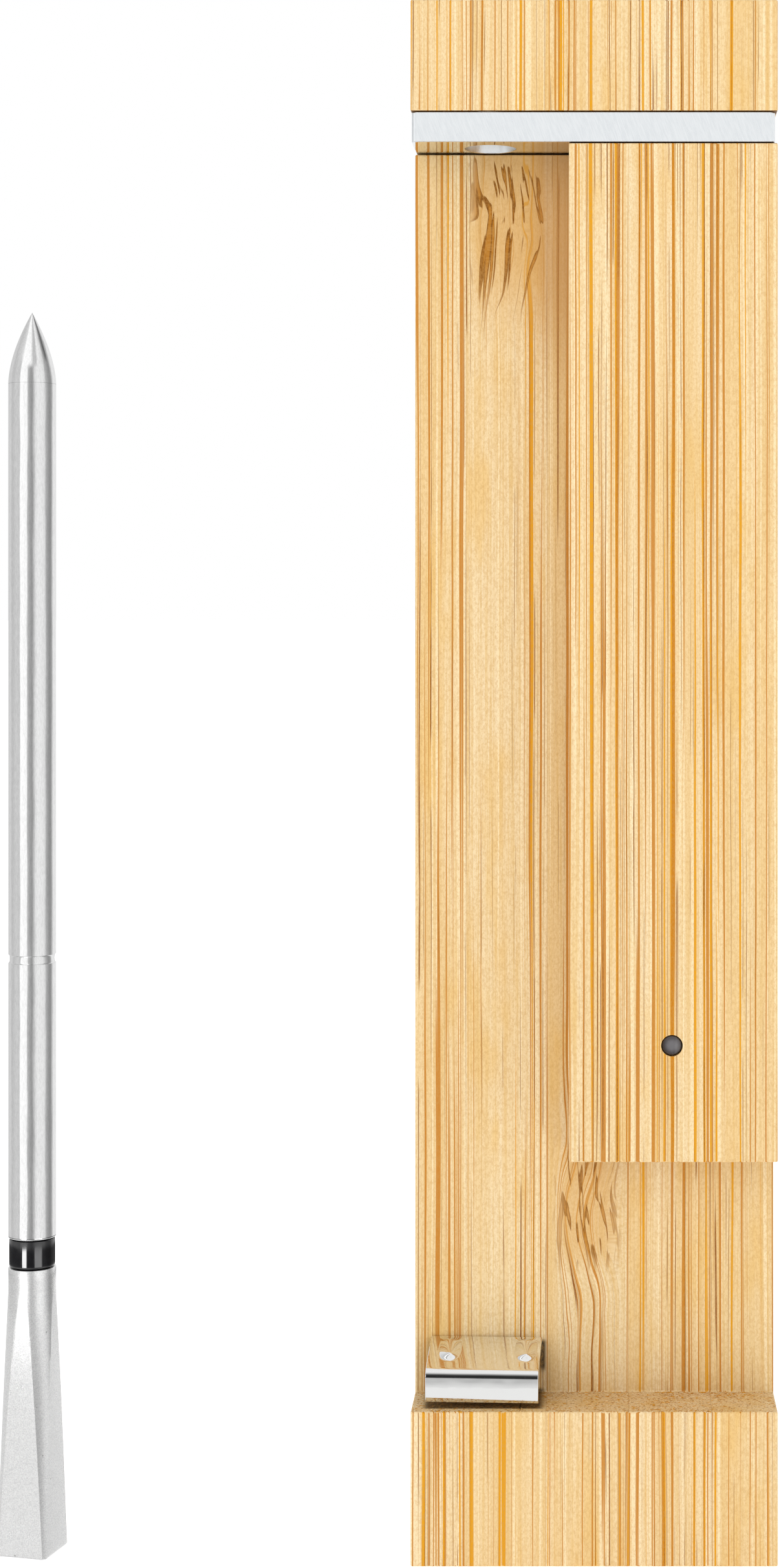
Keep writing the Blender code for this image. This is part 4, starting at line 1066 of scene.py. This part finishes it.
def tent_strength(s):
    """How bright the tent is at each place: by direction, in three parts by height, and the ring's lamps."""
    place = s.node("TexCoord").outputs["Object"]
    round_it = s.node("TexGradient", place, gradient_type="RADIAL").outputs[1]
    height = s.split(place)[2]
    low, high = (edge * MM - TENT_MIDDLE - RING_DROP for edge in (HANDLE_TOP, SHAFT_LOW))
    above = s.ease(height, low - RING_EDGE, low)
    shaft, handle = round_ramp(s, round_it, TENT), round_ramp(s, round_it, HANDLE_TENT)
    at_tip = s.ease(height, *(edge - TENT_MIDDLE for edge in TIP_SHEEN))
    upper = s.between(at_tip, shaft, round_ramp(s, round_it, HIGH_TENT))
    level = s.plus(s.times(upper, above), s.times(handle, s.minus(1.0, above)))
    zone = s.window(height, (low, low + RING_EDGE), (high, high - RING_EDGE))
    lamps = [s.times(s.window(round_it, rise, fall), strength) for rise, fall, strength in RING_LAMPS]
    dark = s.times(level, s.minus(1.0, s.times(zone, RING_CLOTH)))
    return s.plus(dark, s.times(s.plus(*lamps), zone))


def probe_tent():
    """A light tent round the probe, seen only in its reflections."""
    work = bmesh.new()
    radii = {"radius1": TENT_RADIUS, "radius2": TENT_RADIUS}
    bmesh.ops.create_cone(work, cap_ends=False, segments=96, depth=TENT_LENGTH, **radii)
    bmesh.ops.recalc_face_normals(work, faces=work.faces)
    bmesh.ops.reverse_faces(work, faces=work.faces)
    mesh = plain_mesh("probe_tent", work)
    mesh.materials.append(emitter("probe_tent", tent_strength))
    tent = new_object("probe_tent", mesh)
    tent.location = (PROBE_X, PROBE_Y, TENT_MIDDLE)
    only_in_reflections(tent)


CARD_X, CARD_Y, CARD_Z = (-0.05, 0.02), -0.075, (0.002, 0.11)


def card_strength(s):
    """Black low down, fading to white at the top, with a soft bright edge at the bottom."""
    share = s.split(s.node("TexCoord").outputs["Generated"])[2]
    return s.plus(s.ease(share, 0.34, 0.92, 0.03, 0.95), s.ease(share, 0.13, 0.0, 0, 0.85))


def clip_card():
    """A dark card in front of the clip, seen only in its bend."""
    work = bmesh.new()
    (left, right), (low, high) = CARD_X, CARD_Z
    corners = [(left, high), (right, high), (right, low), (left, low)]
    work.faces.new([work.verts.new((x, CARD_Y, z)) for x, z in corners])
    mesh = plain_mesh("clip_card", work)
    mesh.materials.append(emitter("clip_card", card_strength))
    only_in_reflections(new_object("clip_card", mesh))


FLOOR_RADIUS, FLOOR_GAP = 40, 0.02 * MM


def floor_piece():
    """The plain pale floor. It shines a little, so that it reads as white at its far edge too."""
    s = Shader("floor", Base_Color=(0.82, 0.82, 0.82, 1), Roughness=0.9, Emission_Color=(1, 1, 1, 1))
    s.set("Emission Strength", 0.62)
    s.set("Specular IOR Level", 0.0)
    work = bmesh.new()
    bmesh.ops.create_circle(work, cap_ends=True, segments=96, radius=FLOOR_RADIUS)
    mesh = plain_mesh("floor", work)
    mesh.materials.append(s.material)
    floor = new_object("floor", mesh)
    floor.location.z = -FLOOR_GAP
    floor.visible_glossy = False


LAMP_TARGET = Vector((-0.01, 0, 0.08))
LAMP_SIZE = 0.6


def lamp(name, place, power):
    """A round soft lamp that shines on the object and is not mirrored in it."""
    data = bpy.data.lights.new(name, "AREA")
    data.shape = "DISK"
    data.size = LAMP_SIZE
    data.energy = power
    obj = new_object(name, data)
    obj.location = place
    obj.rotation_euler = (LAMP_TARGET - Vector(place)).to_track_quat("-Z", "Y").to_euler()
    obj.visible_glossy = False


def sky():
    world = bpy.data.worlds.new("studio")
    world.use_nodes = True
    background = world.node_tree.nodes["Background"]
    background.inputs["Color"].default_value = (1, 1, 1, 1)
    background.inputs["Strength"].default_value = 1.0
    bpy.context.scene.world = world


def front_camera():
    """A level camera in front of the block. It is shifted, so that the upright edges stay upright."""
    data = bpy.data.cameras.new("camera")
    data.lens = 63.3
    data.shift_x = -0.1345
    data.shift_y = -0.1085
    data.clip_start = 0.01
    camera = new_object("camera", data)
    camera.location = (0.0007, -0.3, 0.0985)
    camera.rotation_euler = (math.pi / 2, 0, 0)
    bpy.context.scene.camera = camera


probe_tent()
clip_card()
floor_piece()
lamp("key", (-0.35, -0.75, 0.5), 1.1)
lamp("fill", (-0.05, -0.85, 0.2), 0.45)
sky()
front_camera()
bpy.context.scene.view_settings.view_transform = "Standard"
